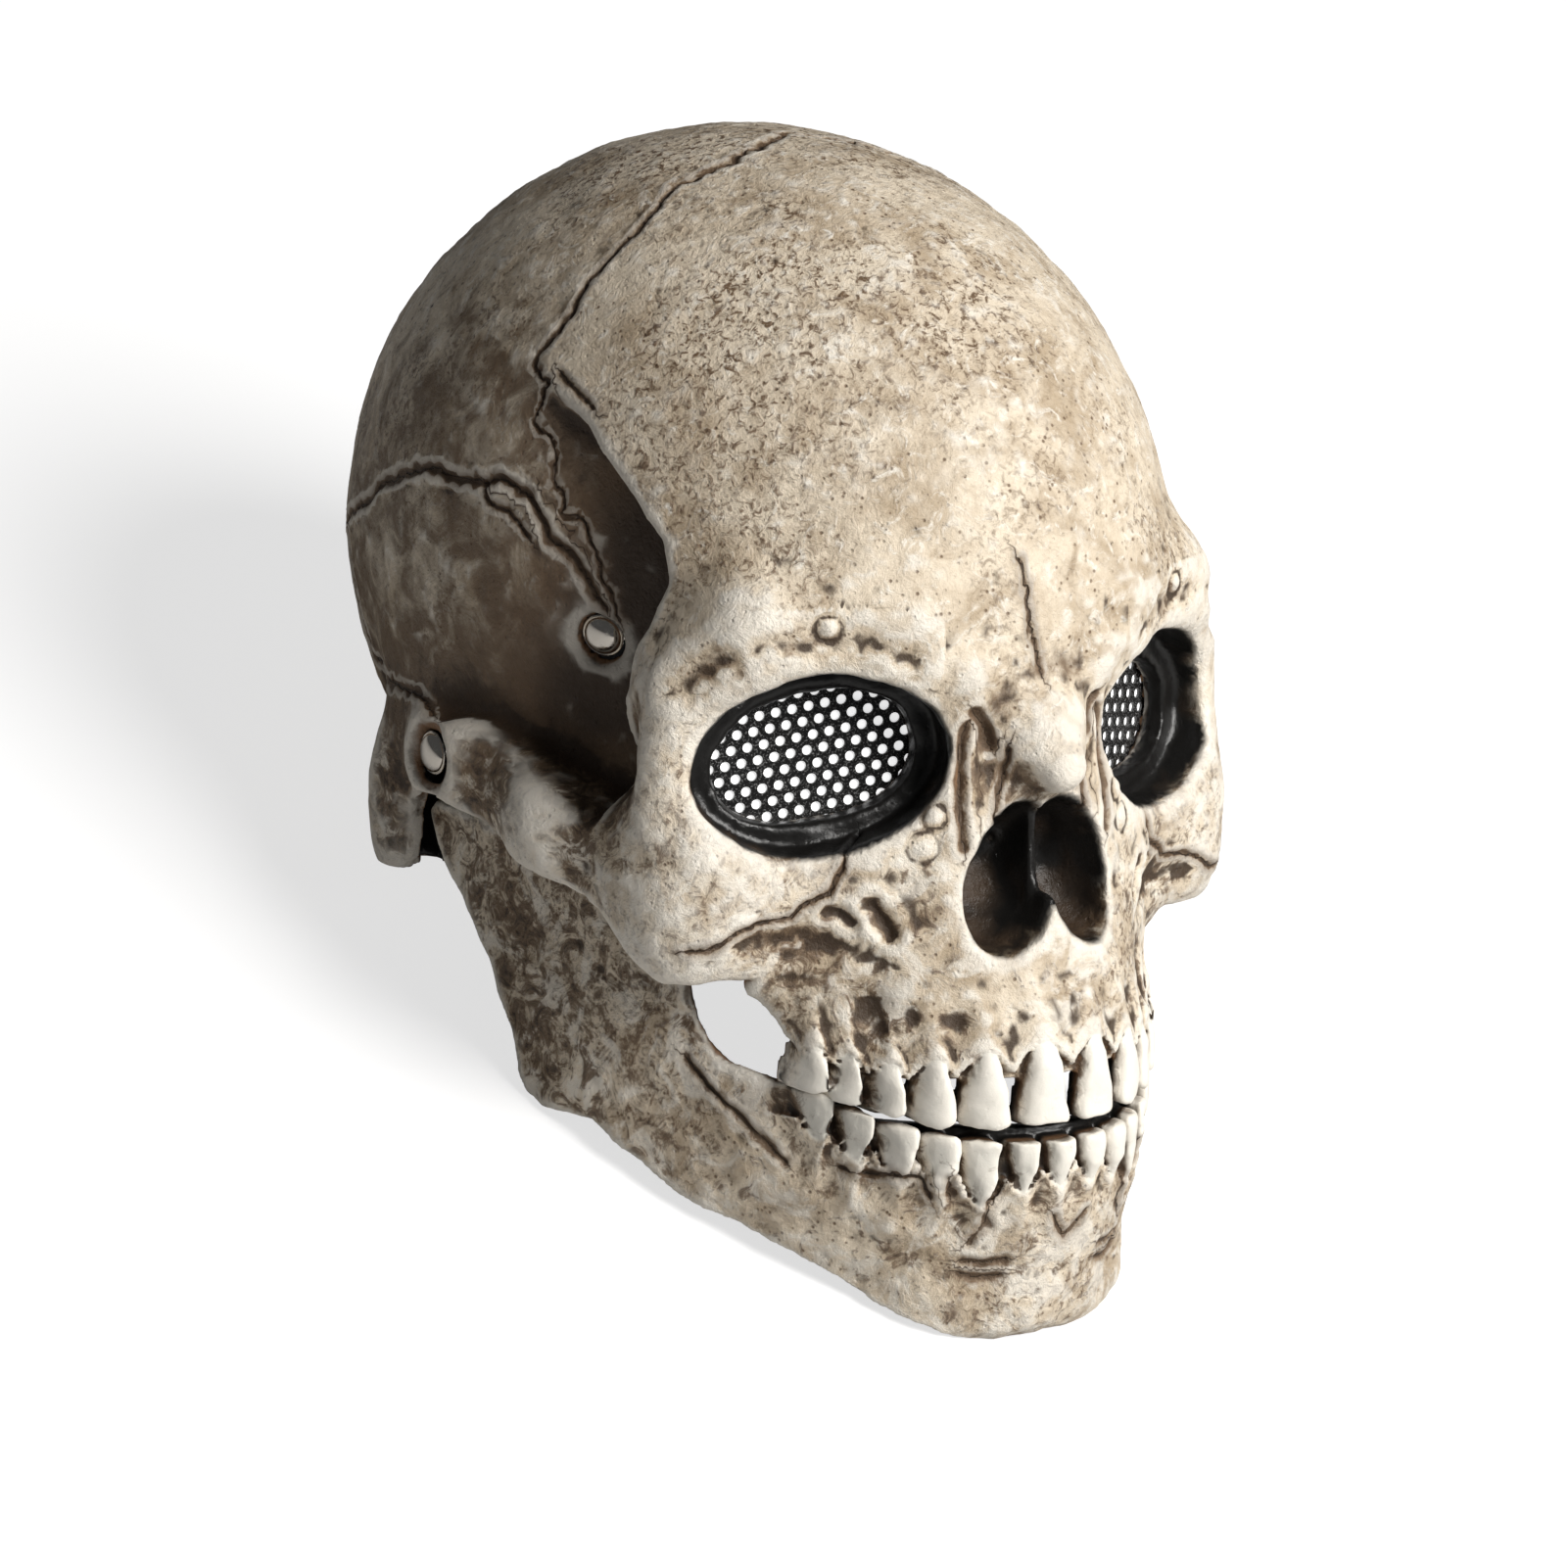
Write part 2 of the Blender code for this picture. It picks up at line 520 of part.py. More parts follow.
def add_tab(name, side, material):
    """Flat strap from the inside of the jaw up to the ear rivet, with a rounded head and a rivet hole."""
    model = bmesh.new()
    rings = []
    for z, x, half, y in TAB_ROWS:
        rings.append([model.verts.new((side * (x - d) * MM, (y + s * half) * MM, z * MM))
                      for d, s in ((0, -1), (0, 1), (TAB_THICK, 1), (TAB_THICK, -1))])
    for low, high in zip(rings, rings[1:]):
        for i in range(4):
            model.faces.new((low[i], low[(i + 1) % 4], high[(i + 1) % 4], high[i]))
    model.faces.new(rings[0])
    top_z, top_x, radius, top_y = TAB_ROWS[-1]
    caps = []
    for d in (0, TAB_THICK):
        arc = [model.verts.new((side * (top_x - d) * MM, (top_y - radius * math.cos(a)) * MM,
                                (top_z + radius * math.sin(a)) * MM))
               for a in (math.pi * i / 8 for i in range(1, 8))]
        ends = (rings[-1][0], rings[-1][1]) if d == 0 else (rings[-1][3], rings[-1][2])
        caps.append([ends[0]] + arc + [ends[1]])
    model.faces.new(caps[0])
    model.faces.new(caps[1])
    for a, b in zip(range(8), range(1, 9)):
        model.faces.new((caps[0][a], caps[0][b], caps[1][b], caps[1][a]))
    tab = finish_bmesh(name, model, material)
    hole = turned(name + "_hole", ((10, 0), (10, TAB_HOLE), (-10, TAB_HOLE), (-10, 0)), 16, material)
    hole.matrix_world = Matrix.Translation(Vector((side * top_x, PIVOT[0], PIVOT[1])) * MM)
    cut(tab, hole)
    foot_z, foot_x, foot_half, foot_y = TAB_ROWS[0]
    seat_low, seat_high = foot_y - foot_half - 1, TAB_ROWS[1][3] + TAB_ROWS[1][2] + 1
    flat = [(side * 55, foot_z - 1), (side * (foot_x + CAST_GAP), foot_z - 1), (side * (foot_x + CAST_GAP), 0),
            (side * 55, 0)]
    seat = prism(name + "_seat", flat, seat_low, seat_high, material)
    return tab, hole, seat


def build():
    clear_scene()
    bone = paint("cast_bone", (0.66, 0.57, 0.44), 0.5)
    black = paint("black_paint", (0.012, 0.011, 0.010), 0.35)
    strap = paint("black_strap", (0.02, 0.018, 0.016), 0.6)
    nickel = paint("nickel", (0.55, 0.52, 0.48), 0.22, 1.0)
    rest = bpy.data.objects.new("rest_pose", None)
    bpy.context.collection.objects.link(rest)
    skull = add_cast("skull", skull_shell, (-100.8, -150, -72), (100.8, 112, 154), SKULL_TRIANGLES, bone)
    jaw = add_cast("jaw", jaw_shell, (-89.6, -146, -124), (89.6, 20, 6), JAW_TRIANGLES, bone)
    reach = 400 * math.cos(REST_TILT)
    fall = reach * REST_SLOPE
    table = [(CHIN_REST[0] - reach, CHIN_REST[1] - fall), (CHIN_REST[0] + reach, CHIN_REST[1] + fall),
             (CHIN_REST[0] + reach, -600), (CHIN_REST[0] - reach, -600)]
    below = prism("below_table", table, -150, 150, bone)
    below.matrix_world = Matrix.Rotation(math.pi / 2, 4, "Z")
    cut(skull, below)
    cut(jaw, below)
    placed = [skull, jaw, below]
    for side, hand in ((-1, "right"), (1, "left")):
        window = prism("window_" + hand, oval(SCREEN_RADII, 28), 2, 30, black)
        seat = [r + SCREEN_LAP for r in SCREEN_RADII]
        rabbet = prism("rabbet_" + hand, oval(seat, 28), SCREEN_FRONT - CAST_GAP, 30, black)
        for cutter in (window, rabbet):
            cutter.matrix_world = socket_matrix(side)
            cut(skull, cutter)
        placed += [window, rabbet]
        placed += add_screen("eye_screen_" + hand, side, black)
        ear = (side * EAR_FACE_X, PIVOT[0], PIVOT[1])
        temple = (side * TEMPLE_RIVET[0], TEMPLE_RIVET[1], TEMPLE_RIVET[2])
        wall_way = outward(TEMPLE_RIVET)
        for name, place, direction, through in (
                ("ear_rivet_", ear, (side, 0, 0), EAR_FACE_X - TAB_ROWS[-1][1] + TAB_THICK + CAST_GAP),
                ("temple_rivet_", temple, (side * wall_way.x, wall_way.y, wall_way.z), WALL + 1.4)):
            frame = rivet_matrix(place, direction)
            rivet = turned(name + hand, rivet_profile(through), 14, nickel)
            bore = ((6, 0), (6, HEAD_RADIUS + 0.5), (-CAST_GAP, HEAD_RADIUS + 0.5), (-CAST_GAP, SHANK_RADIUS + 0.4),
                    (-through + CAST_GAP - 0.2, SHANK_RADIUS + 0.4), (-through + CAST_GAP - 0.2, WASHER_RADIUS + 0.5),
                    (-through - 8, WASHER_RADIUS + 0.5), (-through - 8, 0))
            if name == "ear_rivet_":
                bore = bore[:4] + ((-through - 8, SHANK_RADIUS + 0.4), (-through - 8, 0))
            hole = turned(name + hand + "_bore", bore, 16, nickel)
            rivet.matrix_world = frame
            hole.matrix_world = frame
            cut(skull, hole)
            placed += [rivet, hole]
        tab, hole, seat = add_tab("jaw_tab_" + hand, side, strap)
        cut(jaw, seat)
        placed += [tab, hole, seat]
    for item in placed:
        item.parent = rest
    tip = Matrix.Rotation(-REST_TILT, 4, "X")
    chin = Vector((0, -CHIN_REST[0] * MM, -CHIN_REST[1] * MM))
    rest.matrix_world = Matrix.Translation((0, CENTRE_SHIFT * MM, 0)) @ tip @ Matrix.Translation(chin)


build()
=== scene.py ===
import bpy
import json
import math
import numpy as np
from collections import namedtuple
from mathutils import Matrix, Vector
from mathutils.bvhtree import BVHTree

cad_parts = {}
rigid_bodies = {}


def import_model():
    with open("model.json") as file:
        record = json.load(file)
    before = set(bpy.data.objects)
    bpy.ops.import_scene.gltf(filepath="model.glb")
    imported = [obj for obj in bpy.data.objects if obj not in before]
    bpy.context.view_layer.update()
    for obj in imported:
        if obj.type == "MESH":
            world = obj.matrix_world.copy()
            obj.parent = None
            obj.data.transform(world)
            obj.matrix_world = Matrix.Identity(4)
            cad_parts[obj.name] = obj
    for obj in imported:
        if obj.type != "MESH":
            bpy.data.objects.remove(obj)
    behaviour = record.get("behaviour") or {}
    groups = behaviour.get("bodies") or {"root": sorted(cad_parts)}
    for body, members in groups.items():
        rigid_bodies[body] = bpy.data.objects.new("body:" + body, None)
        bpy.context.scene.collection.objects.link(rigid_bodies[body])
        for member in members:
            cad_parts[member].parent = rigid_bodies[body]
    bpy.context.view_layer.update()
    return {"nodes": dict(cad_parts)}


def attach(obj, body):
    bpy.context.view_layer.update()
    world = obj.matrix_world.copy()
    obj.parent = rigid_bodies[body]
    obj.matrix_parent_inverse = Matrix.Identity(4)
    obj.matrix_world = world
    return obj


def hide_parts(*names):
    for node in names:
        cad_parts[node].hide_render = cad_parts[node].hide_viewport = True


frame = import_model()

# Camera
# The mask lies tipped back on its chin and nape, and the photograph looks down at its right cheek.
# The camera is set in the mask's own upright frame, in millimetres, and tipped back with it.
MM = 0.001
PHOTO_SIDE = 1601
SENSOR = 36.0
FOCAL_PIXELS = 6034.0
CENTRE_PIXEL = (738.99, 764.04)
CAMERA_AZIMUTH = -35.0
CAMERA_ELEVATION = 12.0
CAMERA_DISTANCE = 1400.0
CHIN_REST = (-119.0, -112.6)
NAPE_REST = (70.4, -22.3)
CENTRE_SHIFT = -136.4

rest_tilt = math.atan2(NAPE_REST[1] - CHIN_REST[1], NAPE_REST[0] - CHIN_REST[0])
to_rest = (Matrix.Translation((0, CENTRE_SHIFT * MM, 0)) @ Matrix.Rotation(-rest_tilt, 4, "X")
           @ Matrix.Translation((0, -CHIN_REST[0] * MM, -CHIN_REST[1] * MM)))
aim = (Matrix.Rotation(math.radians(CAMERA_AZIMUTH), 4, "Z")
       @ Matrix.Rotation(math.radians(90 - CAMERA_ELEVATION), 4, "X"))
bpy.ops.object.camera_add()
camera = bpy.context.object
camera.matrix_world = to_rest @ aim @ Matrix.Translation((0, 0, CAMERA_DISTANCE * MM))
camera.data.sensor_width = SENSOR
camera.data.lens = SENSOR * FOCAL_PIXELS / PHOTO_SIDE
camera.data.shift_x = (PHOTO_SIDE / 2 - CENTRE_PIXEL[0]) / PHOTO_SIDE
camera.data.shift_y = (CENTRE_PIXEL[1] - PHOTO_SIDE / 2) / PHOTO_SIDE
camera.data.clip_end = 50
bpy.context.scene.camera = camera


def photo_ray(pixel):
    """Start and direction, in the upright frame, of the line of sight through a pixel of the photograph."""
    right = (pixel[0] - CENTRE_PIXEL[0]) / FOCAL_PIXELS
    down = (pixel[1] - CENTRE_PIXEL[1]) / FOCAL_PIXELS
    start = aim @ Vector((0, 0, CAMERA_DISTANCE))
    return start, (aim.to_3x3() @ Vector((right, -down, -1))).normalized()


# Skull
# The cranium, brow, cheekbones and upper jaw are one hollow latex cast, about 3 mm thick, with the upper
# teeth, seams and cracks sculpted in. It is drawn as a field of bone masses and hollows and then skinned.
WALL = 3.3
PIVOT = (-8.5, 11.0)
EAR_FACE_X = 86.2
EAR_INNER_X = 80.6
TEMPLE_RIVET = (68.2, -51.0, 43.0)
SEAT_RADIUS = 5.5
SEAT_DEEP = -0.2
JAW_HALF_WIDTH = 76.4
JAW_CLEARANCE = 1.3
JAW_ROOM = 9.0
TAB_ROOM = 5.4
SKULL_TRIANGLES = 190000
FINE_EDGE = 1.5

Ellipsoid = namedtuple("Ellipsoid", "name centre radii blend")
Bar = namedtuple("Bar", "name start end start_radius end_radius tall blend")
Tooth = namedtuple("Tooth", "x width gum edge point")
VAULT = Ellipsoid("vault", (0, -10.9, 53), (86.4, 111.8, 95.6), 0)
BRAINCASE = Ellipsoid("braincase", (0, 4, 62), (87, 102, 84), 3)
TEMPLE_WALL_X = 62.0
TEMPLE_WALL_Y = -64
TEMPLE_WALL_FLARE = 0.34
BONE_MASSES = (
    Bar("glabella", (0, -100, 50), (26, -100, 50), 16, 13, 1, 14),
    Bar("inner_brow_bulge", (15, -108, 42), (26, -107, 47), 9, 8, 1, 8),
    Bar("brow", (26, -101, 52), (56, -92, 50), 10, 9, 1, 14),
    Bar("outer_brow", (56, -90, 47), (66, -79, 37), 9, 8, 1, 12),
    Ellipsoid("cheekbone", (60, -80, -8), (21.5, 18, 22), 12),
    Ellipsoid("cheek_edge", (63, -80, -20), (16, 14, 12), 8),
    Bar("arch_front", (64, -78, -10), (79, -48, 0), 12, 8, 1.25, 14),
    Bar("arch_middle", (79, -48, 0), (79, -12, 9), 8, 7.5, 1.25, 12),
    Bar("arch_root", (79, -12, 9), (74, 14, 8), 7.5, 8, 1.3, 14),
    Ellipsoid("ear_boss", (78, -8.5, 10), (9.5, 14, 13), 8),
    Ellipsoid("mastoid", (73.5, 20, -10), (10.5, 12, 20), 12),
    Ellipsoid("occiput", (0, 56, 2), (46, 33, 27.5), 12),
)
NASAL_BONES = (
    Bar("nasal_root", (0, -106, 40), (0, -121, 25), 8.5, 7.2, 1, 9),
    Bar("nasal_tip", (0, -121, 25), (0, -129, 18), 7, 4.6, 1, 9),
)

# The eye socket's own frame turns outwards and tilts down at the outer corner
SOCKET_CENTRE = (44.2, -99.5, 20)
SOCKET_TURN = 22
SOCKET_TILT = -9
SOCKET_RADII = (28.6, 24, 20.5)
SOCKET_DEPTH = 9.0
SOCKET_RIM = 5.8
RIM_RADII = (32.4, 25.1)
ROLL_RADII = (25.2, 17.4)
ROLL_TUBE = 3.6
SCREEN_RADII = (23.4, 15.4)
SCREEN_LAP = 2.0
SCREEN_FRONT = 11.1
CAST_GAP = 0.4
WINDOW_RADII = (22.8, 14.3)
WINDOW_DROP = 0.7
WINDOW_CORNERS = 2.3
NOSE_CENTRE = (8.6, -128, -6.5)
NOSE_RADII = (10.2, 22, 17.5)
NOSE_SPLAY = 21
SEPTUM_FRONT = -119
SEPTUM_HALF = 1.2

# Faces of the upper jaw are parabolas y = front + curve * x * x; rows are z, front, curve
MAXILLA_ROWS = ((-62, -134.5, 0.0160), (-47, -134, 0.0150), (-37, -131.5, 0.0141), (-24, -129, 0.0137),
                (-10, -126.5, 0.0140), (5, -124, 0.0145), (20, -119, 0.0150), (34, -111, 0.0150))
FOSSA_OUTLINE = ((-64, 5), (-65, 13), (-64, 26), (-66, 33), (-69, 40), (-73, 50), (-76, 59), (-74, 67),
                 (-64, 78), (-50, 90), (-36, 97), (0, 98), (20, 90), (30, 60), (22, 34), (8, 24), (-8, 20),
                 (-23, 20.5), (-41, 14.5), (-56, 8))
SKULL_BELOW = ((-170, -51), (-112, -50), (-102, -48), (-98, -45), (-94, -43), (-90, -36), (-88, -30),
               (-86, -28.5), (-84, -28.5), (-77, -21), (-68, -15), (-47, -8), (-30, -4), (-12, 2), (2, 1),
               (8, -4), (11, -18), (15, -21.5), (30, -22), (42, -26), (46, -60), (46, -200), (-170, -200))
CHEEK_EDGE = (57, -28.5)
JAW_SWEEP = ((-80, -46), (-74, -24), (-60, -8), (-40, -5), (-24, -2), (-14, 6), (10, 6), (16, 4), (18, -8),
             (10, -24), (4, -50), (-16, -80), (-60, -80))
TAB_SWEEP = ((-26, -8), (-17, 6), (-14.9, 11), (-13, 15.4), (-8.5, 17.4), (-4, 15.4), (-2.1, 11), (6, 0),
             (10, -8))
UPPER_TEETH = (Tooth(7.0, 12.6, -42.5, -60.5, 0.0), Tooth(19.4, 11.0, -44.0, -60.5, 0.1),
               Tooth(28.8, 9.8, -45.5, -60.5, 0.35), Tooth(36.2, 9.4, -46.5, -58.8, 0.3),
               Tooth(42.2, 9.2, -45.5, -57.0, 0.2), Tooth(47.0, 8.8, -44.0, -54.5, 0.2))
CROWN_RAISE = 2.7
CROWN_BACK = 4.2
GUM_PROUD = 0.9
GUM_SUNK = 1.7
GUM_SCALLOP = 4.2
ROOT_RIDGE = 1.2
ROOT_LENGTH = 17.0

# Pixels of the photograph that the sculpted lines pass through; the far side mirrors the near one
Line = namedtuple("Line", "name depth width wander pixels")
SKULL_LINES = (
    Line("coronal_seam_top", 0.9, 0.9, 1.5,
         ((905, 148), (870, 138), (835, 134), (800, 137), (770, 152), (740, 168), (715, 178), (690, 190))),
    Line("coronal_seam", 1.0, 0.6, 0.5,
         ((690, 190), (668, 215), (652, 235), (625, 262), (600, 290), (585, 318), (568, 340), (554, 356))),
    Line("coronal_seam_low", 0.9, 0.55, 1.7,
         ((554, 356), (548, 375), (561, 392), (552, 410), (546, 432), (560, 448), (566, 470), (565, 490),
          (576, 505), (578, 520), (592, 533), (600, 555), (612, 572), (616, 592), (626, 612), (632, 632))),
    Line("temple_crack", 0.7, 0.6, 0.6, ((572, 381), (590, 400), (604, 416))),
    Line("ear_plate_seam", 1.3, 0.9, 0.8,
         ((356, 531), (376, 513), (386, 495), (411, 484), (440, 477), (465, 488), (494, 492), (511, 488),
          (543, 509), (554, 531), (561, 552), (583, 566), (601, 595), (618, 622))),
    Line("ear_plate_spur", 0.8, 0.6, 0.8, ((494, 492), (499, 514), (515, 520), (529, 531), (540, 549))),
    Line("back_seam", 1.0, 0.8, 1.0, ((358, 545), (360, 575), (366, 610), (374, 640), (382, 668), (398, 696),
                                      (430, 710), (440, 728))),
    Line("cheek_seam", 1.0, 0.6, 0.6, ((876, 854), (866, 868), (863, 885), (854, 897), (846, 914), (825, 921),
                                       (806, 937), (779, 943), (753, 954), (722, 971), (703, 973))),
    Line("nose_slot", 1.4, 1.0, 0.2, ((986, 742), (981, 765), (980, 790), (981, 830), (984, 866))),
    Line("nose_crack", 0.8, 0.6, 0.5, ((1030, 765), (1026, 785), (1022, 805), (1017, 835), (1010, 856))),
    Line("brow_slot", 1.4, 1.2, 0.2, ((995, 728), (1004, 740), (1010, 760))),
    Line("cheek_hole", 1.9, 1.7, 0.2, ((890, 926), (898, 938), (908, 954))),
    Line("cheek_notch", 1.3, 1.4, 0.2, ((846, 932), (858, 934), (870, 942))),
    Line("brow_hollow", 0.9, 3.0, 0.8,
         ((690, 700), (730, 676), (775, 660), (830, 655), (885, 658), (930, 672))),
    Line("under_cheek", 0.8, 2.6, 1.0, ((760, 965), (800, 958), (850, 965), (900, 985))),
)
SHARP_WIDTH = 1.3
LINE_REACH = 7
LOOSE_LINES = (
    Line("brow_crack", 0.6, 0.5, 1.1,
         ((1040, 572), (1046, 590), (1050, 610), (1053, 633), (1057, 659), (1063, 686))),
)
Spot = namedtuple("Spot", "name pixel radius raise_")
SKULL_SPOTS = (
    Spot("brow_pimple", (846, 643), 1.7, 1.0),
    Spot("nose_pimple", (954, 834), 1.6, 0.8), Spot("nose_pimple_low", (942, 866), 2.0, 0.7),
    Spot("tooth_hollow", (887, 1028), 5.0, -2.2), Spot("tooth_hollow_low", (897, 1052), 4.0, -1.6),
    Spot("root_hollow", (929, 1040), 2.6, -1.0), Spot("root_hollow_front", (976, 1046), 2.6, -1.0),
    Spot("back_dent", (455, 730), 4.0, -0.9), Spot("back_dent_low", (400, 790), 4.5, -0.8),
    Spot("cheek_dent", (655, 880), 5.0, -0.9), Spot("eye_corner", (995, 690), 7.0, 1.6),
)


def smooth_min(a, b, blend):
    near = np.maximum(blend - np.abs(a - b), 0)
    return np.minimum(a, b) - near * near / (4 * max(blend, 1e-6))


def smooth_max(a, b, blend):
    return -smooth_min(-a, -b, blend)


def rise(value, low, high):
    """0 below low, 1 above high, smooth between."""
    share = np.clip((value - low) / (high - low), 0, 1)
    return share * share * (3 - 2 * share)


def ellipsoid(place, centre, radii):
    parts = [(place[i] - centre[i]) / radii[i] for i in range(3)]
    reach = np.sqrt(sum(p * p for p in parts))
    slope = np.sqrt(sum((p / r) ** 2 for p, r in zip(parts, radii))) + 1e-9
    return reach * (reach - 1) / slope


def bar(place, row):
    """A round bar from start to end; tall stretches it in height."""
    squash = np.array((1, 1, 1 / row.tall))
    start = np.array(row.start) * squash
    along = np.array(row.end) * squash - start
    offset = [place[i] * squash[i] - start[i] for i in range(3)]
    share = np.clip(sum(offset[i] * along[i] for i in range(3)) / along.dot(along), 0, 1)
    off = sum((offset[i] - share * along[i]) ** 2 for i in range(3))
    return np.sqrt(off) - (row.start_radius + (row.end_radius - row.start_radius) * share)


def side_outline(y, z, outline):
    """Signed distance in the side view to a closed outline, negative inside."""
    shape = np.broadcast_shapes(y.shape, z.shape)
    nearest = np.full(shape, 1e9, dtype=np.float32)
    inside = np.zeros(shape, dtype=bool)
    for (y0, z0), (y1, z1) in zip(outline, outline[1:] + outline[:1]):
        dy, dz = y1 - y0, z1 - z0
        share = np.clip(((y - y0) * dy + (z - z0) * dz) / (dy * dy + dz * dz), 0, 1)
        nearest = np.minimum(nearest, (y - y0 - share * dy) ** 2 + (z - z0 - share * dz) ** 2)
        if dz:
            inside ^= ((z0 > z) != (z1 > z)) & (y < y0 + dy * (z - z0) / dz)
    return np.where(inside, -1, 1) * np.sqrt(nearest)


def bowed_face(place, rows):
    """Distance to a face bowed round the teeth, negative behind it."""
    heights = [row[0] for row in rows]
    front = np.interp(place[2], heights, [row[1] for row in rows]).astype(np.float32)
    curve = np.interp(place[2], heights, [row[2] for row in rows]).astype(np.float32)
    return (front + curve * place[0] ** 2 - place[1]) / np.sqrt(1 + (2 * curve * place[0]) ** 2)


def socket_frame(place):
    """Coordinates along, into and up the eye socket."""
    x, y, z = (place[i] - SOCKET_CENTRE[i] for i in range(3))
    turn, tilt = math.radians(SOCKET_TURN), math.radians(SOCKET_TILT)
    along = x * math.cos(turn) + y * math.sin(turn)
    depth = -x * math.sin(turn) + y * math.cos(turn)
    return along * math.cos(tilt) + z * math.sin(tilt), depth, -along * math.sin(tilt) + z * math.cos(tilt)


def oval_reach(along, up, radii, corners=2.0):
    """Distance to an oval, negative inside; more than 2 corners squares it."""
    powers = np.abs(along / radii[0]) ** corners + np.abs(up / radii[1]) ** corners
    return (powers ** (1 / corners) - 1) * min(radii)


def oval_ring(along, depth, up, radii, depth_at, tube):
    return np.sqrt(oval_reach(along, up, radii) ** 2 + (depth - depth_at) ** 2) - tube


def socket_hollow(half):
    along, depth, up = socket_frame(half)
    return smooth_max(ellipsoid((along, depth, up), (0, 0, 0), SOCKET_RADII), depth - SOCKET_DEPTH, 4)


def nose_hollow(half):
    splay = math.radians(NOSE_SPLAY)
    nose_x = (half[0] - NOSE_CENTRE[0]) * math.cos(splay) + (half[2] - NOSE_CENTRE[2]) * math.sin(splay)
    nose_z = -(half[0] - NOSE_CENTRE[0]) * math.sin(splay) + (half[2] - NOSE_CENTRE[2]) * math.cos(splay)
    return ellipsoid((nose_x, half[1] - NOSE_CENTRE[1], nose_z), (0, 0, 0), NOSE_RADII)


def skull_masses(half):
    """Field of the bone masses before the hollows are cut, negative in the bone."""
    field = ellipsoid(half, VAULT.centre, VAULT.radii)
    for row in BONE_MASSES:
        part = bar(half, row) if isinstance(row, Bar) else ellipsoid(half, row.centre, row.radii)
        field = smooth_min(field, part, row.blend)
    along, depth, up = socket_frame(half)
    field = smooth_min(field, oval_ring(along, depth, up, RIM_RADII, 4, SOCKET_RIM), 12)
    maxilla = smooth_max(bowed_face(half, MAXILLA_ROWS), half[2] - 24, 16)
    maxilla = smooth_max(smooth_max(maxilla, half[1] + 70, 4), half[0] - 54, 8)
    maxilla = np.maximum(maxilla, -70 - half[2])
    field = smooth_min(field, maxilla, 14)
    for row in NASAL_BONES:
        field = smooth_min(field, bar(half, row), row.blend)
    return field


def skull_skin(half):
    """Field of the skull's outer skin, negative in the bone."""
    field = skull_masses(half)
    along, depth, up = socket_frame(half)
    temple = half[0] - TEMPLE_WALL_X - TEMPLE_WALL_FLARE * (half[1] - TEMPLE_WALL_Y)
    outside = -smooth_min(ellipsoid(half, BRAINCASE.centre, BRAINCASE.radii), temple, 8)
    fossa = smooth_max(side_outline(half[1], half[2], FOSSA_OUTLINE), outside, BRAINCASE.blend)
    field = smooth_max(field, -fossa, 3.5)
    field = smooth_max(field, -socket_hollow(half), 3)
    field = smooth_min(field, oval_ring(along, depth, up, ROLL_RADII, SOCKET_DEPTH - 0.6, ROLL_TUBE), 2)
    septum = np.maximum(half[0] - SEPTUM_HALF, SEPTUM_FRONT - half[1])
    return smooth_max(field, -smooth_max(nose_hollow(half), -septum, 2), 2.5)


def tooth_row(half, rows, teeth, up):
    """Crowns, gum relief and tooth shares of a row; up is 1 with the gum above the teeth and -1 below."""
    heights = [row[0] for row in rows]
    curve = np.interp(half[2], heights, [row[2] for row in rows]).astype(np.float32)
    height = half[2] * up
    crown = np.float32(99)
    raised = np.float32(0)
    margin = np.float32(-999)
    ridge = np.float32(0)
    for tooth in teeth:
        along = (half[0] - tooth.x) * np.sqrt(1 + (2 * curve * tooth.x) ** 2)
        gum, edge = tooth.gum * up, tooth.edge * up
        share = (height - edge) / (gum - edge)
        half_width = tooth.width / 2 * (1 - 0.60 * np.clip(share, 0, 1.1) ** 1.5)
        side = np.abs(along) - half_width
        bite = edge + tooth.point * np.abs(along) - height
        outline = smooth_max(smooth_max(side, bite, 2.0), height - gum - 1.0, 2.5)
        crown = np.minimum(crown, outline)
        reach = np.clip(np.abs(along) / half_width, 0, 1)
        bulge = CROWN_RAISE * np.sqrt(1 - reach ** 2.4) * (1 - 0.45 * rise(share, 0.5, 1.1))
        raised = np.maximum(raised, np.where(outline < 1, bulge, 0))
        margin = np.maximum(margin, gum - GUM_SCALLOP * (2 * along / tooth.width) ** 2)
        ridge = np.maximum(ridge, np.exp(-(along / (0.3 * tooth.width)) ** 2))
    above = height - np.maximum(margin, min(t.gum * up for t in teeth) - GUM_SCALLOP)
    fade = 1 - rise(above, 0.3 * ROOT_LENGTH, ROOT_LENGTH)
    reach_x = 1 - rise(half[0], teeth[-1].x + 2, teeth[-1].x + 7)
    gum_relief = (GUM_PROUD + GUM_SUNK) * rise(above, -0.6, 0.5) - GUM_SUNK
    gum_relief = np.where(above > 0, gum_relief * (1 - rise(above, 1, 6)), gum_relief)
    relief = (gum_relief + ROOT_RIDGE * (ridge - 0.45) * fade * rise(above, -0.5, 2)) * reach_x
    return crown, raised, relief


def toothed_shell(half, skin, rows, teeth, up, gums, trim):
    """A wall inside the skin, cut off at its trim, with a row of crowns and their gums."""
    depth = bowed_face(half, rows)
    crown, raised, relief = tooth_row(half, rows, teeth, up)
    shell = np.maximum(skin - np.where(gums, relief, 0), -(skin + WALL))
    crowns = np.maximum(smooth_max(crown, depth - raised, 1.2), -depth - CROWN_BACK)
    return smooth_min(smooth_max(shell, trim, 1.2), crowns, 0.6)


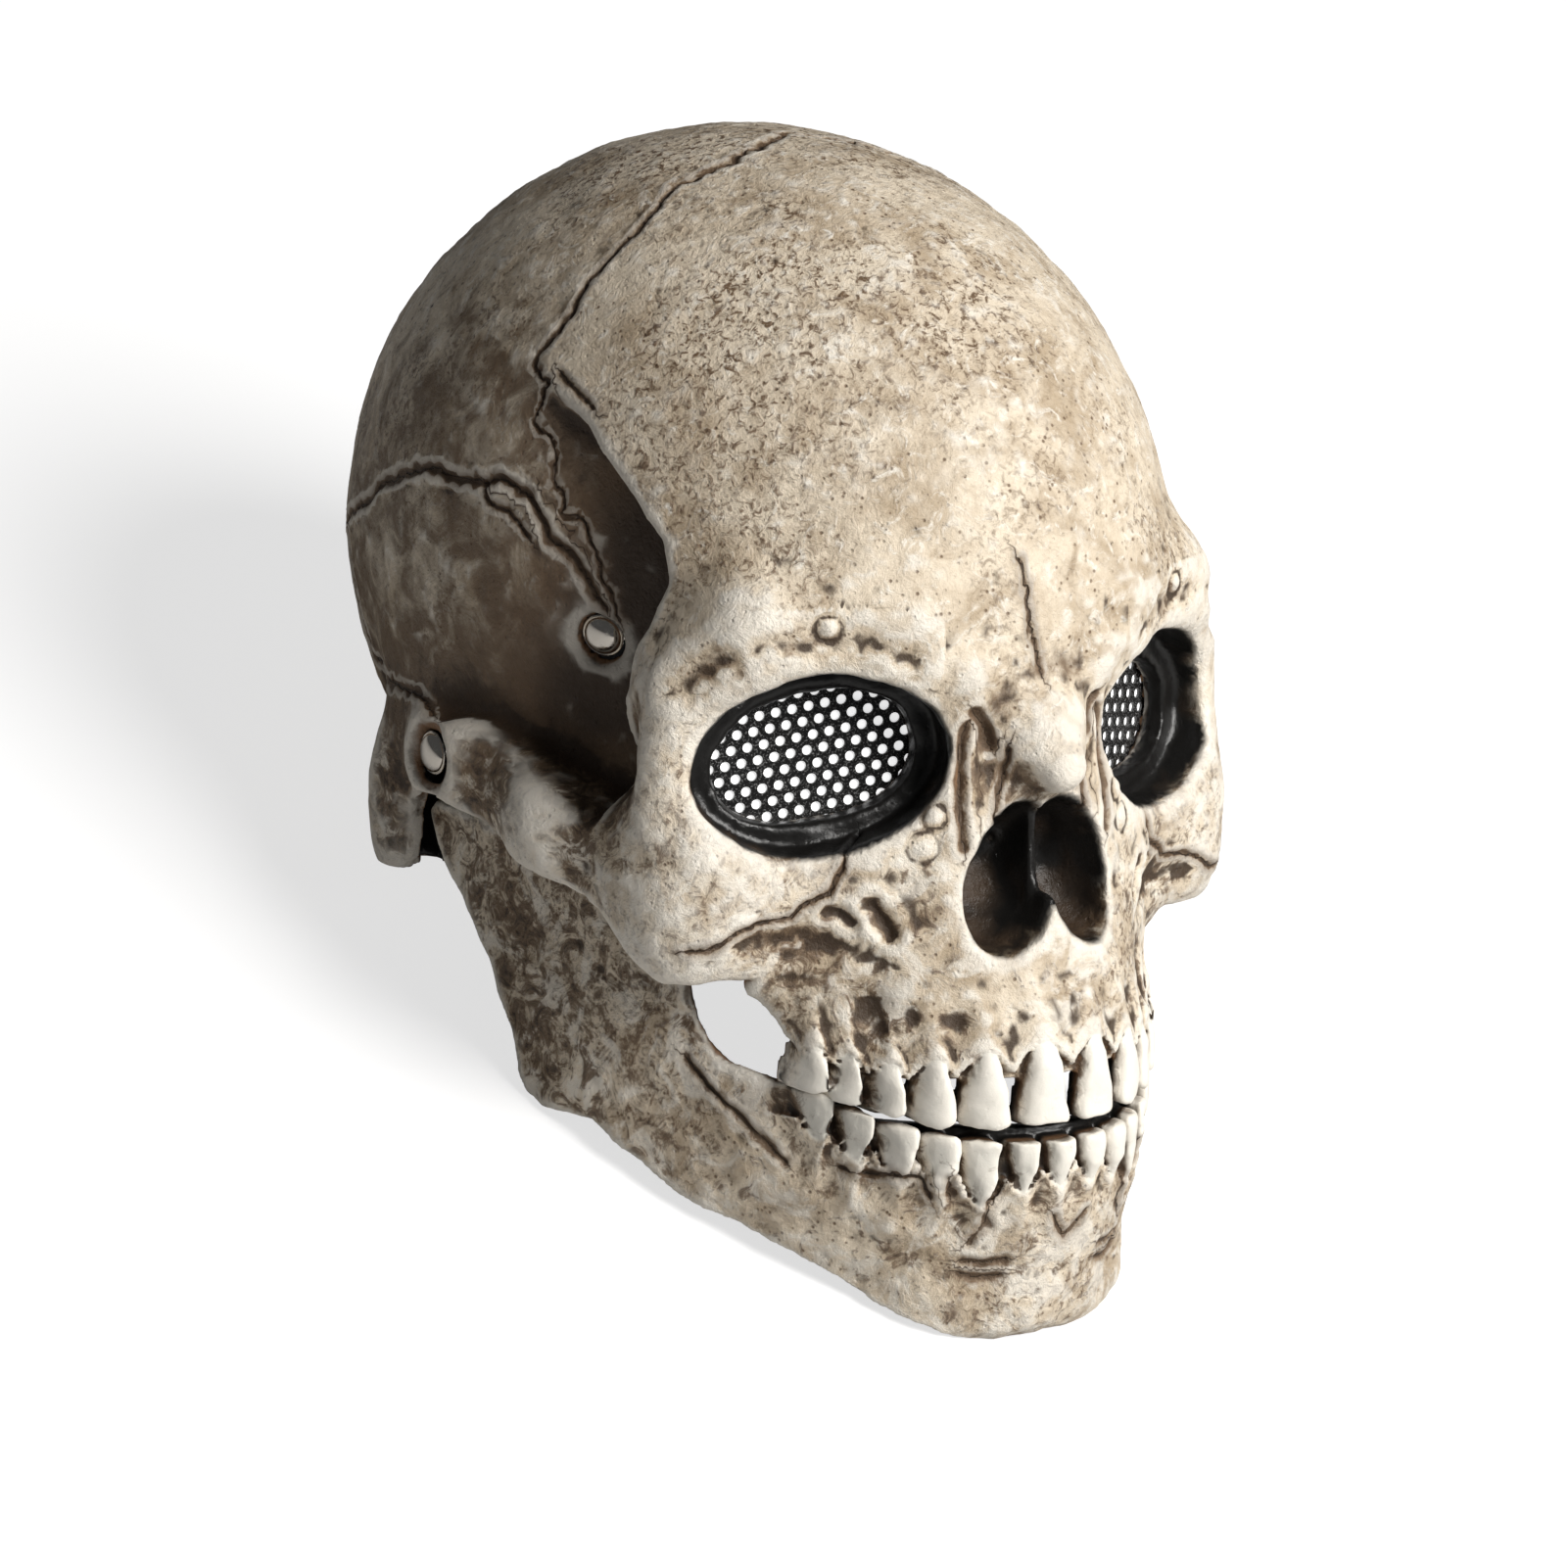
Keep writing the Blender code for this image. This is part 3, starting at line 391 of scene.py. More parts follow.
def enamel_and_mouth_shade(half, rows, teeth, up):
    """Shares of tooth enamel on the crowns and of black behind them, which is painted shade."""
    crown, raised, relief = tooth_row(half, rows, teeth, up)
    depth = bowed_face(half, rows)
    front = half[1] < -92
    enamel = (1 - rise(crown, -0.3, 0.7)) * rise(depth, -0.8, 0.6)
    return enamel * front, (1 - rise(depth, -2.6, -0.6)) * front


def wall_way(place):
    """Outward direction of the braincase wall at a place on it."""
    return Vector([(place[i] - BRAINCASE.centre[i]) / BRAINCASE.radii[i] ** 2 for i in range(3)]).normalized()


def jaw_half_width(y):
    """Half width of the jaw's outer face, which bows from the chin back to its straight branches."""
    return np.minimum(JAW_HALF_WIDTH, np.sqrt(np.maximum(y + 133, 0) / 0.0181))


def skull_shell(half):
    gums = (half[1] < -84) & (half[2] < -16)
    trim = -side_outline(half[1], half[2], SKULL_BELOW)
    shell = toothed_shell(half, skull_skin(half), MAXILLA_ROWS, UPPER_TEETH, 1, gums, trim)
    cheek = np.maximum(CHEEK_EDGE[0] - half[0], half[2] - CHEEK_EDGE[1])
    shell = smooth_max(shell, -cheek, 1.2)
    reach = jaw_half_width(half[1]) + JAW_CLEARANCE
    jaw_way = np.maximum(side_outline(half[1], half[2], JAW_SWEEP), half[0] - reach)
    jaw_way = np.maximum(jaw_way, JAW_HALF_WIDTH - JAW_ROOM - half[0])
    tab_way = np.maximum(side_outline(half[1], half[2], TAB_SWEEP), half[0] - EAR_INNER_X)
    tab_way = np.maximum(tab_way, EAR_INNER_X - TAB_ROOM - half[0])
    shell = np.maximum(np.maximum(shell, -jaw_way), -tab_way)
    along, into, up = socket_frame(half)
    window = oval_reach(along, up + WINDOW_DROP, WINDOW_RADII, WINDOW_CORNERS)
    window = np.maximum(window, 2 - into)
    seat = [r + SCREEN_LAP for r in SCREEN_RADII]
    rabbet = np.maximum(oval_reach(along, up, seat), SCREEN_FRONT - CAST_GAP - into)
    screen_way = np.maximum(np.minimum(window, rabbet), into - 30)
    shell = np.maximum(shell, -screen_way)
    ear_rivet = (EAR_FACE_X, *PIVOT)
    for spot, way, flare in ((TEMPLE_RIVET, wall_way(TEMPLE_RIVET), 0.6), (ear_rivet, (1, 0, 0), 1.5)):
        away = [half[i] - spot[i] for i in range(3)]
        height = sum(away[i] * way[i] for i in range(3))
        radial = np.sqrt(np.maximum(sum(a * a for a in away) - height * height, 0))
        shell = smooth_max(shell, -np.maximum(radial - SEAT_RADIUS - flare * height, SEAT_DEEP - height), 0.8)
    return shell


def fill_pinches(inside):
    """Fills grid corners wherever bone would meet bone, or air meet air, only across a diagonal."""
    for _ in range(6):
        before = inside.sum()
        for axis in range(3):
            flat = np.moveaxis(inside, axis, 0)
            a, b, c, d = flat[:, :-1, :-1], flat[:, 1:, :-1], flat[:, :-1, 1:], flat[:, 1:, 1:]
            pinch = (a == d) & (b == c) & (a != b)
            for corner in (a, b, c, d):
                corner |= pinch
        if inside.sum() == before:
            break


def grid_lines(*spans):
    """Grid lines through spans of (start, end, step)."""
    lines = [np.arange(start, end - step / 2, step) for start, end, step in spans]
    return np.concatenate(lines + [[spans[-1][1]]]).astype(np.float32)


def skin_of(field_function, lines):
    """Closed mesh where the field is zero, one vertex in each grid cell that it crosses."""
    half = field_function((lines[0][:, None, None], lines[1][None, :, None], lines[2][None, None, :]))
    half = half.astype(np.float32)
    fill_inside = half < 0
    fill_pinches(fill_inside)
    half = np.where(fill_inside, np.minimum(half, -0.05), np.maximum(half, 0.02))
    field = np.concatenate((half[:0:-1], half))
    axes = [np.concatenate((-lines[0][:0:-1], lines[0])), lines[1], lines[2]]
    inside = field < 0
    cells = tuple(n - 1 for n in field.shape)
    corners = [(i, j, k) for i in (0, 1) for j in (0, 1) for k in (0, 1)]
    count = np.zeros(cells, dtype=np.int8)
    for i, j, k in corners:
        count += inside[i:cells[0] + i, j:cells[1] + j, k:cells[2] + k]
    crossed = (count > 0) & (count < 8)
    index = np.full(cells, -1, dtype=np.int32)
    index[crossed] = np.arange(crossed.sum())
    cell = np.argwhere(crossed)
    total = np.zeros((len(cell), 3), dtype=np.float32)
    hits = np.zeros(len(cell), dtype=np.float32)
    for corner in corners:
        for axis in range(3):
            if corner[axis]:
                continue
            first = cell + corner
            second = first.copy()
            second[:, axis] += 1
            a = field[tuple(first.T)]
            b = field[tuple(second.T)]
            cut = (a < 0) != (b < 0)
            point = np.tile(np.array(corner, dtype=np.float32), (len(cell), 1))
            point[:, axis] += np.where(cut, a / np.where(cut, a - b, 1), 0)
            total[cut] += point[cut]
            hits[cut] += 1
    share = total / hits[:, None]
    points = np.stack([axes[i][cell[:, i]] * (1 - share[:, i]) + axes[i][cell[:, i] + 1] * share[:, i]
                       for i in range(3)], axis=1)
    faces = []
    for axis in range(3):
        ahead = [slice(None)] * 3
        behind = [slice(None)] * 3
        ahead[axis] = slice(1, None)
        behind[axis] = slice(0, -1)
        edge = np.argwhere(inside[tuple(behind)] != inside[tuple(ahead)])
        others = [i for i in range(3) if i != axis]
        ring = []
        for step_a, step_b in ((0, 0), (1, 0), (1, 1), (0, 1)):
            around = edge.copy()
            around[:, others[0]] -= step_a
            around[:, others[1]] -= step_b
            ring.append(index[tuple(around.T)])
        ring = np.stack(ring, axis=1)
        flip = inside[tuple(edge.T)] == (axis == 1)
        ring[flip] = ring[flip][:, ::-1]
        faces.append(ring)
    return points, np.concatenate(faces)


def select_only(item):
    bpy.ops.object.select_all(action="DESELECT")
    item.select_set(True)
    bpy.context.view_layer.objects.active = item


def add_mesh(name, points, faces):
    mesh = bpy.data.meshes.new(name)
    mesh.vertices.add(len(points))
    mesh.vertices.foreach_set("co", np.asarray(points, dtype=np.float32).ravel())
    mesh.loops.add(faces.size)
    mesh.loops.foreach_set("vertex_index", faces.astype(np.int32).ravel())
    mesh.polygons.add(len(faces))
    mesh.polygons.foreach_set("loop_start", np.arange(0, faces.size, faces.shape[1], dtype=np.int32))
    mesh.update(calc_edges=True)
    item = bpy.data.objects.new(name, mesh)
    bpy.context.collection.objects.link(item)
    return item


def keep_one_body(item, vertex):
    """Drops every loose bit that isn't joined to the vertex."""
    select_only(item)
    bpy.ops.object.mode_set(mode="EDIT")
    bpy.ops.mesh.select_mode(type="VERT")
    bpy.ops.mesh.select_all(action="DESELECT")
    bpy.ops.object.mode_set(mode="OBJECT")
    item.data.vertices[vertex].select = True
    bpy.ops.object.mode_set(mode="EDIT")
    bpy.ops.mesh.select_linked()
    bpy.ops.mesh.select_all(action="INVERT")
    bpy.ops.mesh.delete(type="VERT")
    bpy.ops.object.mode_set(mode="OBJECT")


def read_points(mesh, kind="co"):
    points = np.empty(len(mesh.vertices) * 3, dtype=np.float32)
    if kind == "co":
        mesh.vertices.foreach_get("co", points)
    else:
        mesh.vertex_normals.foreach_get("vector", points)
    return points.reshape(-1, 3)


def grain(points, size, seed):
    """Smooth random values between -1 and 1, with bumps of about that size in millimetres."""
    table = np.random.default_rng(seed).uniform(-1, 1, (32, 32, 32)).astype(np.float32)
    place = points / size
    cell = np.floor(place).astype(np.int32)
    share = place - cell
    share = share * share * (3 - 2 * share)
    total = np.zeros(len(points), dtype=np.float32)
    for corner in np.ndindex(2, 2, 2):
        weight = np.prod(np.where(corner, share, 1 - share), axis=1)
        total += weight * table[tuple(((cell + corner) % 32).T)]
    return total


def draw_on(tree, pixels):
    """Places on the skin that pixels of the photograph show, with the skin's direction there."""
    path = []
    for pixel in pixels:
        start, direction = photo_ray(pixel)
        spot, normal, face, distance = tree.ray_cast(start * MM, direction)
        if spot:
            path.append((np.array(spot) / MM, np.array(normal)))
    return path


def path_distance(points, path):
    """Signed distance in millimetres from the points to a path on the skin."""
    nearest = np.full(len(points), 99.0, dtype=np.float32)
    for (a, normal), (b, other) in zip(path, path[1:]):
        along = b - a
        length = np.linalg.norm(along)
        if length < 0.1:
            continue
        low, high = np.minimum(a, b) - LINE_REACH, np.maximum(a, b) + LINE_REACH
        close = np.flatnonzero(np.all((points > low) & (points < high), axis=1))
        offset = points[close] - a
        share = np.clip(offset @ along / length ** 2, 0, 1)
        away = offset - share[:, None] * along
        distance = np.linalg.norm(away, axis=1)
        side = np.sign(away @ np.cross(along, normal + other))
        better = distance < np.abs(nearest[close])
        nearest[close[better]] = (side * distance)[better]
    return nearest


def line_fields(points, tree, lines, mirrored):
    """For each sculpted line, its signed wandering distance and the line itself."""
    place = points.copy()
    if mirrored:
        place[:, 0] = -np.abs(place[:, 0])
    rows = []
    for seed, line in enumerate(lines):
        signed = path_distance(place, draw_on(tree, line.pixels))
        close = np.abs(signed) < LINE_REACH
        drift = grain(place[close], 2.6, seed) + 0.4 * grain(place[close], 1.3, seed + 50)
        signed[close] += line.wander * drift
        rows.append((line, signed))
    return rows


def lines_relief(rows):
    """Each line is a groove with slightly raised lips."""
    relief = 0
    for line, signed in rows:
        away = np.abs(signed)
        groove = -line.depth * np.exp(-(away / line.width) ** 2)
        relief = relief + groove + 0.25 * line.depth * np.exp(-((away - 2.4 * line.width) / line.width) ** 2)
    return relief


def spots_relief(points, tree, spots):
    place = points.copy()
    place[:, 0] = -np.abs(place[:, 0])
    relief = 0
    for spot in spots:
        centre = draw_on(tree, (spot.pixel,))[0][0]
        away = np.linalg.norm(place - centre, axis=1)
        relief = relief + spot.raise_ * np.exp(-(away / spot.radius) ** 2)
        if spot.radius < 2.5 and spot.raise_ > 0:
            relief = relief - 0.5 * spot.raise_ * np.exp(-((away - 1.7 * spot.radius) / 0.9) ** 2)
    return relief


def add_value(mesh, name, values):
    mesh.attributes.new(name, "FLOAT", "POINT").data.foreach_set("value", values.astype(np.float32))


def crease_of(mesh, rounds):
    """How far each vertex lies below its smoothed surroundings, in millimetres; less on coarse triangles."""
    points = read_points(mesh) / MM
    edges = np.empty(len(mesh.edges) * 2, dtype=np.int32)
    mesh.edges.foreach_get("vertices", edges)
    a, b = edges.reshape(-1, 2).T
    count = np.bincount(a, minlength=len(points)) + np.bincount(b, minlength=len(points))
    soft = points.astype(np.float64)
    for step in range(rounds):
        total = np.stack([np.bincount(a, soft[b, i], len(points)) + np.bincount(b, soft[a, i], len(points))
                          for i in range(3)], axis=1)
        soft = 0.5 * soft + 0.5 * total / count[:, None]
    lengths = np.linalg.norm(points[a] - points[b], axis=1)
    length = (np.bincount(a, lengths, len(points)) + np.bincount(b, lengths, len(points))) / count
    below = np.sum((soft - points) * read_points(mesh, "normal"), axis=1)
    return below * np.minimum(1, (FINE_EDGE / length) ** 2)


def folded(points):
    """Coordinates with the left side folded on to the right one."""
    return np.abs(points[:, 0]), points[:, 1], points[:, 2]


def recess_of(points, normals, skin):
    """0 in the open to 1 deep in a hollow, from how much bone stands around each vertex."""
    closed = 0
    for reach in (3, 7, 13, 22):
        closed = closed + np.clip(1 - skin(folded(points + normals * reach)) / reach, 0, 1)
    return closed / 4


def facing_of(points, normals, skin):
    """1 where a face looks out of the skin, -1 where it looks in and 0 on a cut edge."""
    slope = []
    for axis in range(3):
        step = np.zeros(3, dtype=np.float32)
        step[axis] = 0.3
        slope.append(skin(folded(points + step)) - skin(folded(points - step)))
    slope = np.stack(slope, axis=1)
    return np.sum(slope * normals, axis=1) / (np.linalg.norm(slope, axis=1) + 1e-6)


def cast_piece(name, field_function, lines, triangles, skin, seam_lines, loose_lines, spots, extra_relief):
    """Skins a field, sculpts the lines and rough surface into it, and thins it to its triangle count."""
    points, faces = skin_of(field_function, lines)
    item = add_mesh(name, points * MM, faces)
    keep_one_body(item, int(np.argmin(points[:, 1])))
    points = read_points(item.data) / MM
    normals = read_points(item.data, "normal")
    tree = BVHTree.FromObject(item, bpy.context.evaluated_depsgraph_get())
    depth = skin(folded(points))
    outer = rise(depth, -2.2, -1.0)
    rows = line_fields(points, tree, seam_lines, True) + line_fields(points, tree, loose_lines, False)
    relief = lines_relief(rows) + spots_relief(points, tree, spots)
    face = 1 + 0.7 * (1 - rise(points[:, 2], 45, 75)) * (1 - rise(points[:, 1], -60, -40))
    lumps = 0.45 * grain(points, 14, 11) + 0.25 * grain(points, 6, 12) + 0.13 * grain(points, 2.6, 13)
    relief += face * lumps
    relief += extra_relief(points)
    moved = points + normals * (relief * outer)[:, None]
    item.data.vertices.foreach_set("co", (moved * MM).astype(np.float32).ravel())
    item.data.update()
    select_only(item)
    thin = item.modifiers.new("thin", "DECIMATE")
    thin.ratio = min(1, triangles / (2 * len(item.data.polygons)))
    bpy.ops.object.modifier_apply(modifier=thin.name)
    mesh = item.data
    points = read_points(mesh) / MM
    normals = read_points(mesh, "normal")
    half = folded(points)
    depth = skin(half)
    rows = line_fields(points, tree, seam_lines, True) + line_fields(points, tree, loose_lines, False)
    nearest = np.full(len(points), 99.0)
    for line, signed in rows:
        better = (np.abs(signed) < np.abs(nearest)) & (line.width <= SHARP_WIDTH)
        nearest[better] = signed[better]
    add_value(mesh, "seam", np.clip(nearest, -8, 8))
    add_value(mesh, "seam_near", 1 - rise(np.abs(nearest), 2.5, 6))
    # crease and hollow: how far each place lies below its smoothed surroundings, finely and broadly; the bone
    # paint darkens the dents as painted shade over a brown wash and lightens the bulges as painted highlight
    # over dry-brushed wear
    add_value(mesh, "crease", crease_of(mesh, 4))
    add_value(mesh, "crown", rise(points[:, 2], 70, 135))
    add_value(mesh, "low", 1 - rise(points[:, 2], -5, 40))
    # flank: the sides of the face and temples, which the bone paint darkens as painted shade
    add_value(mesh, "flank", rise(half[0], 48, 82) * rise(half[1], -95, -30))
    add_value(mesh, "hollow", crease_of(mesh, 40))
    # recess: how shut in each place is; the bone paint darkens it, painted shade over the brown wash
    add_value(mesh, "recess", recess_of(points, normals, skin))
    facing = facing_of(points, normals, skin)
    # inside: the inner faces, which the bone paint turns black as painted shade
    add_value(mesh, "inside", (1 - rise(depth, -WALL + 0.4, -WALL + 1.2)) * (1 - rise(facing, -0.4, 0.2)))
    add_value(mesh, "edge", (1 - rise(np.abs(facing), 0.35, 0.75)) * (1 - rise(depth, -1.4, -0.7)))
    return item, half


def settle(item):
    """Tips the cast back on to its chin and nape, flat where it meets the table."""
    item.data.transform(to_rest)
    points = read_points(item.data)
    points[:, 2] = np.maximum(points[:, 2], 0)
    item.data.vertices.foreach_set("co", points.ravel())
    item.data.update()
    item.data.shade_smooth()


def skull_rough(points):
    """Deeper pitting on the crown."""
    crown = rise(points[:, 2], 95, 125)
    return 0.12 * crown * grain(points, 1.8, 21)


skull_lines = (grid_lines((0, 56, 0.75), (56, 93, 1.0)),
               grid_lines((-148, -98, 0.75), (-98, 112, 1.05)),
               grid_lines((-68, -38, 0.65), (-38, 153, 1.0)))
skull, half = cast_piece("skull_cast", skull_shell, skull_lines, SKULL_TRIANGLES, skull_skin, SKULL_LINES,
                         LOOSE_LINES, SKULL_SPOTS, skull_rough)
tooth, mouth = enamel_and_mouth_shade(half, MAXILLA_ROWS, UPPER_TEETH, 1)
add_value(skull.data, "tooth", tooth * (half[2] < -38))
wander = 0.5 * grain(np.stack(half, axis=1), 4, 31)
socket_paint = 1 - rise(socket_hollow(half) + wander, 0.4, 1.1)
painted = np.maximum(socket_paint, 1 - rise(nose_hollow(half) + wander, 0, 1.1))
# sunk: how deep each place lies in the hollows cut into the bone masses; the bone paint darkens it, painted
# shade over a brown wash
add_value(skull.data, "sunk", rise(-skull_masses(half), 2.0, 11.0))
# black: satin paint in the sockets and nose, and painted shade behind the upper teeth
add_value(skull.data, "black", np.maximum(painted, mouth * (half[2] < -50.5)))
settle(skull)
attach(skull, "head")
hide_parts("skull")

# Aged bone paint
# Ivory latex with brown washes rubbed into the hollows and painted shade over them and on the sides,
# chalky wear with painted highlights on the bulges, fine dark speckle on the crown, whiter teeth, black satin
# paint in the eye sockets and the nose, and the same black as painted shade on the inside and behind the
# teeth.
IVORY = (0.80, 0.69, 0.54, 1)
CHALK = (0.93, 0.88, 0.79, 1)
TAN = (0.44, 0.335, 0.22, 1)
BROWN = (0.17, 0.108, 0.062, 1)
UMBER = (0.058, 0.036, 0.021, 1)
ENAMEL = (0.80, 0.77, 0.69, 1)
RAW_LATEX = (0.26, 0.14, 0.07, 1)
# Black of the sockets' satin paint, also laid as painted shade on the inside and behind the teeth
BLACK_PAINT_AND_SHADE = (0.009, 0.0085, 0.008, 1)


def wire(tree, node, values):
    for name, value in values.items():
        if isinstance(value, bpy.types.NodeSocket):
            tree.links.new(value, node.inputs[name])
        else:
            node.inputs[name].default_value = value


def add_node(tree, kind, values, **settings):
    node = tree.nodes.new(kind)
    for name, value in settings.items():
        setattr(node, name, value)
    wire(tree, node, values)
    return node


def mixed(tree, share, a, b):
    return add_node(tree, "ShaderNodeMix", {0: share, 6: a, 7: b}, data_type="RGBA").outputs[2]


def maths(tree, operation, a, b):
    return add_node(tree, "ShaderNodeMath", {0: a, 1: b}, operation=operation).outputs[0]


def plus(tree, a, b):
    return maths(tree, "ADD", a, b)


def times(tree, a, b):
    return maths(tree, "MULTIPLY", a, b)


def painted_over(tree, colour, *coats):
    """Lays coats of (share, paint) over the colour, one after the other."""
    for share, paint in coats:
        colour = mixed(tree, share, colour, paint)
    return colour


def fade(tree, value, low, high, top=1.0):
    values = {"Value": value, "From Min": low, "From Max": high, "To Max": top}
    return add_node(tree, "ShaderNodeMapRange", values, interpolation_type="SMOOTHSTEP").outputs[0]


def clouds(tree, place, size, detail=3.0, rough=0.55, bend=0.0):
    values = {"Vector": place, "Scale": 1 / (size * MM), "Detail": detail, "Roughness": rough,
              "Distortion": bend}
    return add_node(tree, "ShaderNodeTexNoise", values).outputs["Fac"]


def cells(tree, place, size):
    values = {"Vector": place, "Scale": 1 / (size * MM)}
    return add_node(tree, "ShaderNodeTexVoronoi", values).outputs["Distance"]


def bumped(tree, strength, deep, height):
    values = {"Strength": strength, "Distance": deep * MM, "Height": height}
    return add_node(tree, "ShaderNodeBump", values).outputs["Normal"]


def camera_ray(tree):
    return add_node(tree, "ShaderNodeLightPath", {}).outputs["Is Camera Ray"]


def reading(tree, name):
    return add_node(tree, "ShaderNodeAttribute", {}, attribute_name=name).outputs["Fac"]


def new_material(name):
    material = bpy.data.materials.new(name)
    material.use_nodes = True
    tree = material.node_tree
    place = add_node(tree, "ShaderNodeTexCoord", {}).outputs["Object"]
    return material, tree, place, tree.nodes["Principled BSDF"]


bone, tree, place, shader = new_material("aged_bone_paint")
patch = clouds(tree, place, 42, 2.0)
wash = clouds(tree, place, 24, 6.0, 0.62, 0.6)
blotch = clouds(tree, place, 11, 6.0, 0.66, 0.8)
smear = clouds(tree, place, 6, 6.0, 0.7, 1.6)
speck = clouds(tree, place, 1.9, 5.0, 0.68, 0.7)
fine = clouds(tree, place, 0.9, 3.0, 0.6)
pits = cells(tree, place, 2.3)
recess, crease, hollow, sunk, crown, flank, low, tooth, black, inside, edge, seam_near = (
    reading(tree, name) for name in ("recess", "crease", "hollow", "sunk", "crown", "flank", "low", "tooth",
                                     "black", "inside", "edge", "seam_near"))
seam = add_node(tree, "ShaderNodeMath", {0: reading(tree, "seam")}, operation="ABSOLUTE").outputs[0]
dirt = plus(tree, fade(tree, patch, 0.40, 0.62), times(tree, crown, 0.35))
dirt = times(tree, dirt, fade(tree, speck, 0.47, 0.64, 0.9))
dots = times(tree, fade(tree, pits, 0.26, 0.1, 0.9), fade(tree, blotch, 0.42, 0.56))
flecks = times(tree, fade(tree, speck, 0.62, 0.72, 0.9), fade(tree, wash, 0.4, 0.55))
mottle = times(tree, maths(tree, "SUBTRACT", blotch, 0.5), 0.9)
streak = times(tree, maths(tree, "SUBTRACT", smear, 0.5), low)
# This share mixes brown mottle and streaks with painted shade from how shut in, hollow and side-on each place
# is
grime_and_shade = plus(tree, recess, plus(tree, mottle, times(tree, streak, 2.4)))
# Broad dents add painted shade
grime_and_shade = plus(tree, grime_and_shade, times(tree, hollow, 0.2))
# Darker towards the sides: painted shade
grime_and_shade = plus(tree, grime_and_shade, times(tree, flank, 0.36))
bare = maths(tree, "SUBTRACT", 1.0, times(tree, tooth, 0.45))
worn = times(tree, fade(tree, blotch, 0.50, 0.38, 0.6), low)
sunken_wash_and_shade = plus(tree, sunk, times(tree, mottle, 0.2))
open_bone = maths(tree, "SUBTRACT", 1.0, sunk)
line = times(tree, fade(tree, seam, 0.6, 0.2, 0.95), seam_near)
stain = times(tree, fade(tree, seam, 3.2, 0.5, 0.6), seam_near)
# Black share: satin paint in the sockets and nose, and painted shade on the inner faces and behind the teeth
black_paint_and_shade = maths(tree, "MAXIMUM", black, inside)
colour = painted_over(
    tree, mixed(tree, fade(tree, wash, 0.40, 0.66, 0.85), IVORY, TAN),
    (fade(tree, blotch, 0.50, 0.72, 0.7), TAN),
    (fade(tree, smear, 0.52, 0.70, 0.85), CHALK),
    (dirt, BROWN), (dots, BROWN), (flecks, UMBER), (tooth, ENAMEL),
    # Brown and umber where that share is high: a wash in the hollows, darkened further as painted shade
    (times(tree, fade(tree, grime_and_shade, 0.12, 0.46, 0.9), bare), BROWN),
    (times(tree, fade(tree, grime_and_shade, 0.42, 0.80, 0.95), bare), UMBER),
    (times(tree, worn, fade(tree, grime_and_shade, 0.5, 0.2)), CHALK),
    # Brown and umber deep in the fossae, sockets and nose: painted shade over a brown wash
    (fade(tree, sunken_wash_and_shade, 0.02, 0.40, 0.95), BROWN),
    (fade(tree, sunken_wash_and_shade, 0.30, 0.8, 0.95), UMBER),
    # Chalk on the broad bulges: painted highlight over dry-brushed wear
    (fade(tree, hollow, -0.15, -0.8, 0.45), CHALK),
    # Umber in small dents: painted shade over a brown wash
    (fade(tree, crease, 0.02, 0.15, 0.95), UMBER),
    # Chalk on small ridges outside the hollows: painted highlight over dry-brushed wear
    (times(tree, fade(tree, crease, -0.03, -0.14, 0.5), open_bone), CHALK),
    (stain, BROWN), (line, UMBER), (edge, RAW_LATEX), (black_paint_and_shade, BLACK_PAINT_AND_SHADE))
rough = plus(tree, times(tree, blotch, 0.3), 0.34)
rough = add_node(tree, "ShaderNodeMix", {0: black_paint_and_shade, 2: rough, 3: 0.3}).outputs[0]
height = plus(tree, times(tree, speck, 1.1), times(tree, fine, 0.35))
height = plus(tree, height, times(tree, smear, 1.2))
height = plus(tree, height, times(tree, fade(tree, pits, 0.22, 0.05), -0.4))
height = plus(tree, height, times(tree, line, -1.2))
soften = maths(tree, "SUBTRACT", 1.0, times(tree, maths(tree, "MAXIMUM", tooth, black_paint_and_shade), 0.8))
height = times(tree, height, soften)
wire(tree, shader, {"Base Color": colour, "Roughness": rough, "Normal": bumped(tree, 0.8, 0.6, height),
                    "Specular IOR Level": 0.4})
skull.data.materials.append(bone)

# Jaw
# The lower jaw is a second cast of the same latex. It hangs on two straps from the ear rivets, swings a
# little with the wearer's mouth, and carries the lower teeth.
JAW_TRIANGLES = 120000
JAW_ROWS = ((-117, -120, 0.0181), (-110, -125, 0.0181), (-103, -127, 0.0181), (-94, -130, 0.0181),
            (-80, -134.5, 0.0181), (-64, -136, 0.0183))
CHIN = Bar("chin", (0, -112, -101), (19, -108, -103), 13, 10.5, 1, 8)
JAW_OUTLINE = ((-170, -68), (-121, -67.5), (-114, -65.5), (-106, -61.5), (-98, -57), (-92, -54), (-84, -52.5),
               (-78.5, -51), (-74, -47), (-71.2, -42), (-70, -37), (-69, -29), (-66, -20), (-56, -13),
               (-40, -10), (-24, -7), (-12, -4.5), (8, -4), (11, -7), (7, -14), (-3, -25), (-14, -40),
               (-20.5, -54), (-23.3, -62), (-26, -66.5), (-31, -69), (-45, -70), (-56, -76), (-69, -84),
               (-80, -88.3),
               (-90, -93), (-99, -98.7), (-105, -103), (-110, -105.8), (-115.5, -108.8), (-118, -112.5),
               (-118, -130), (-170, -130))
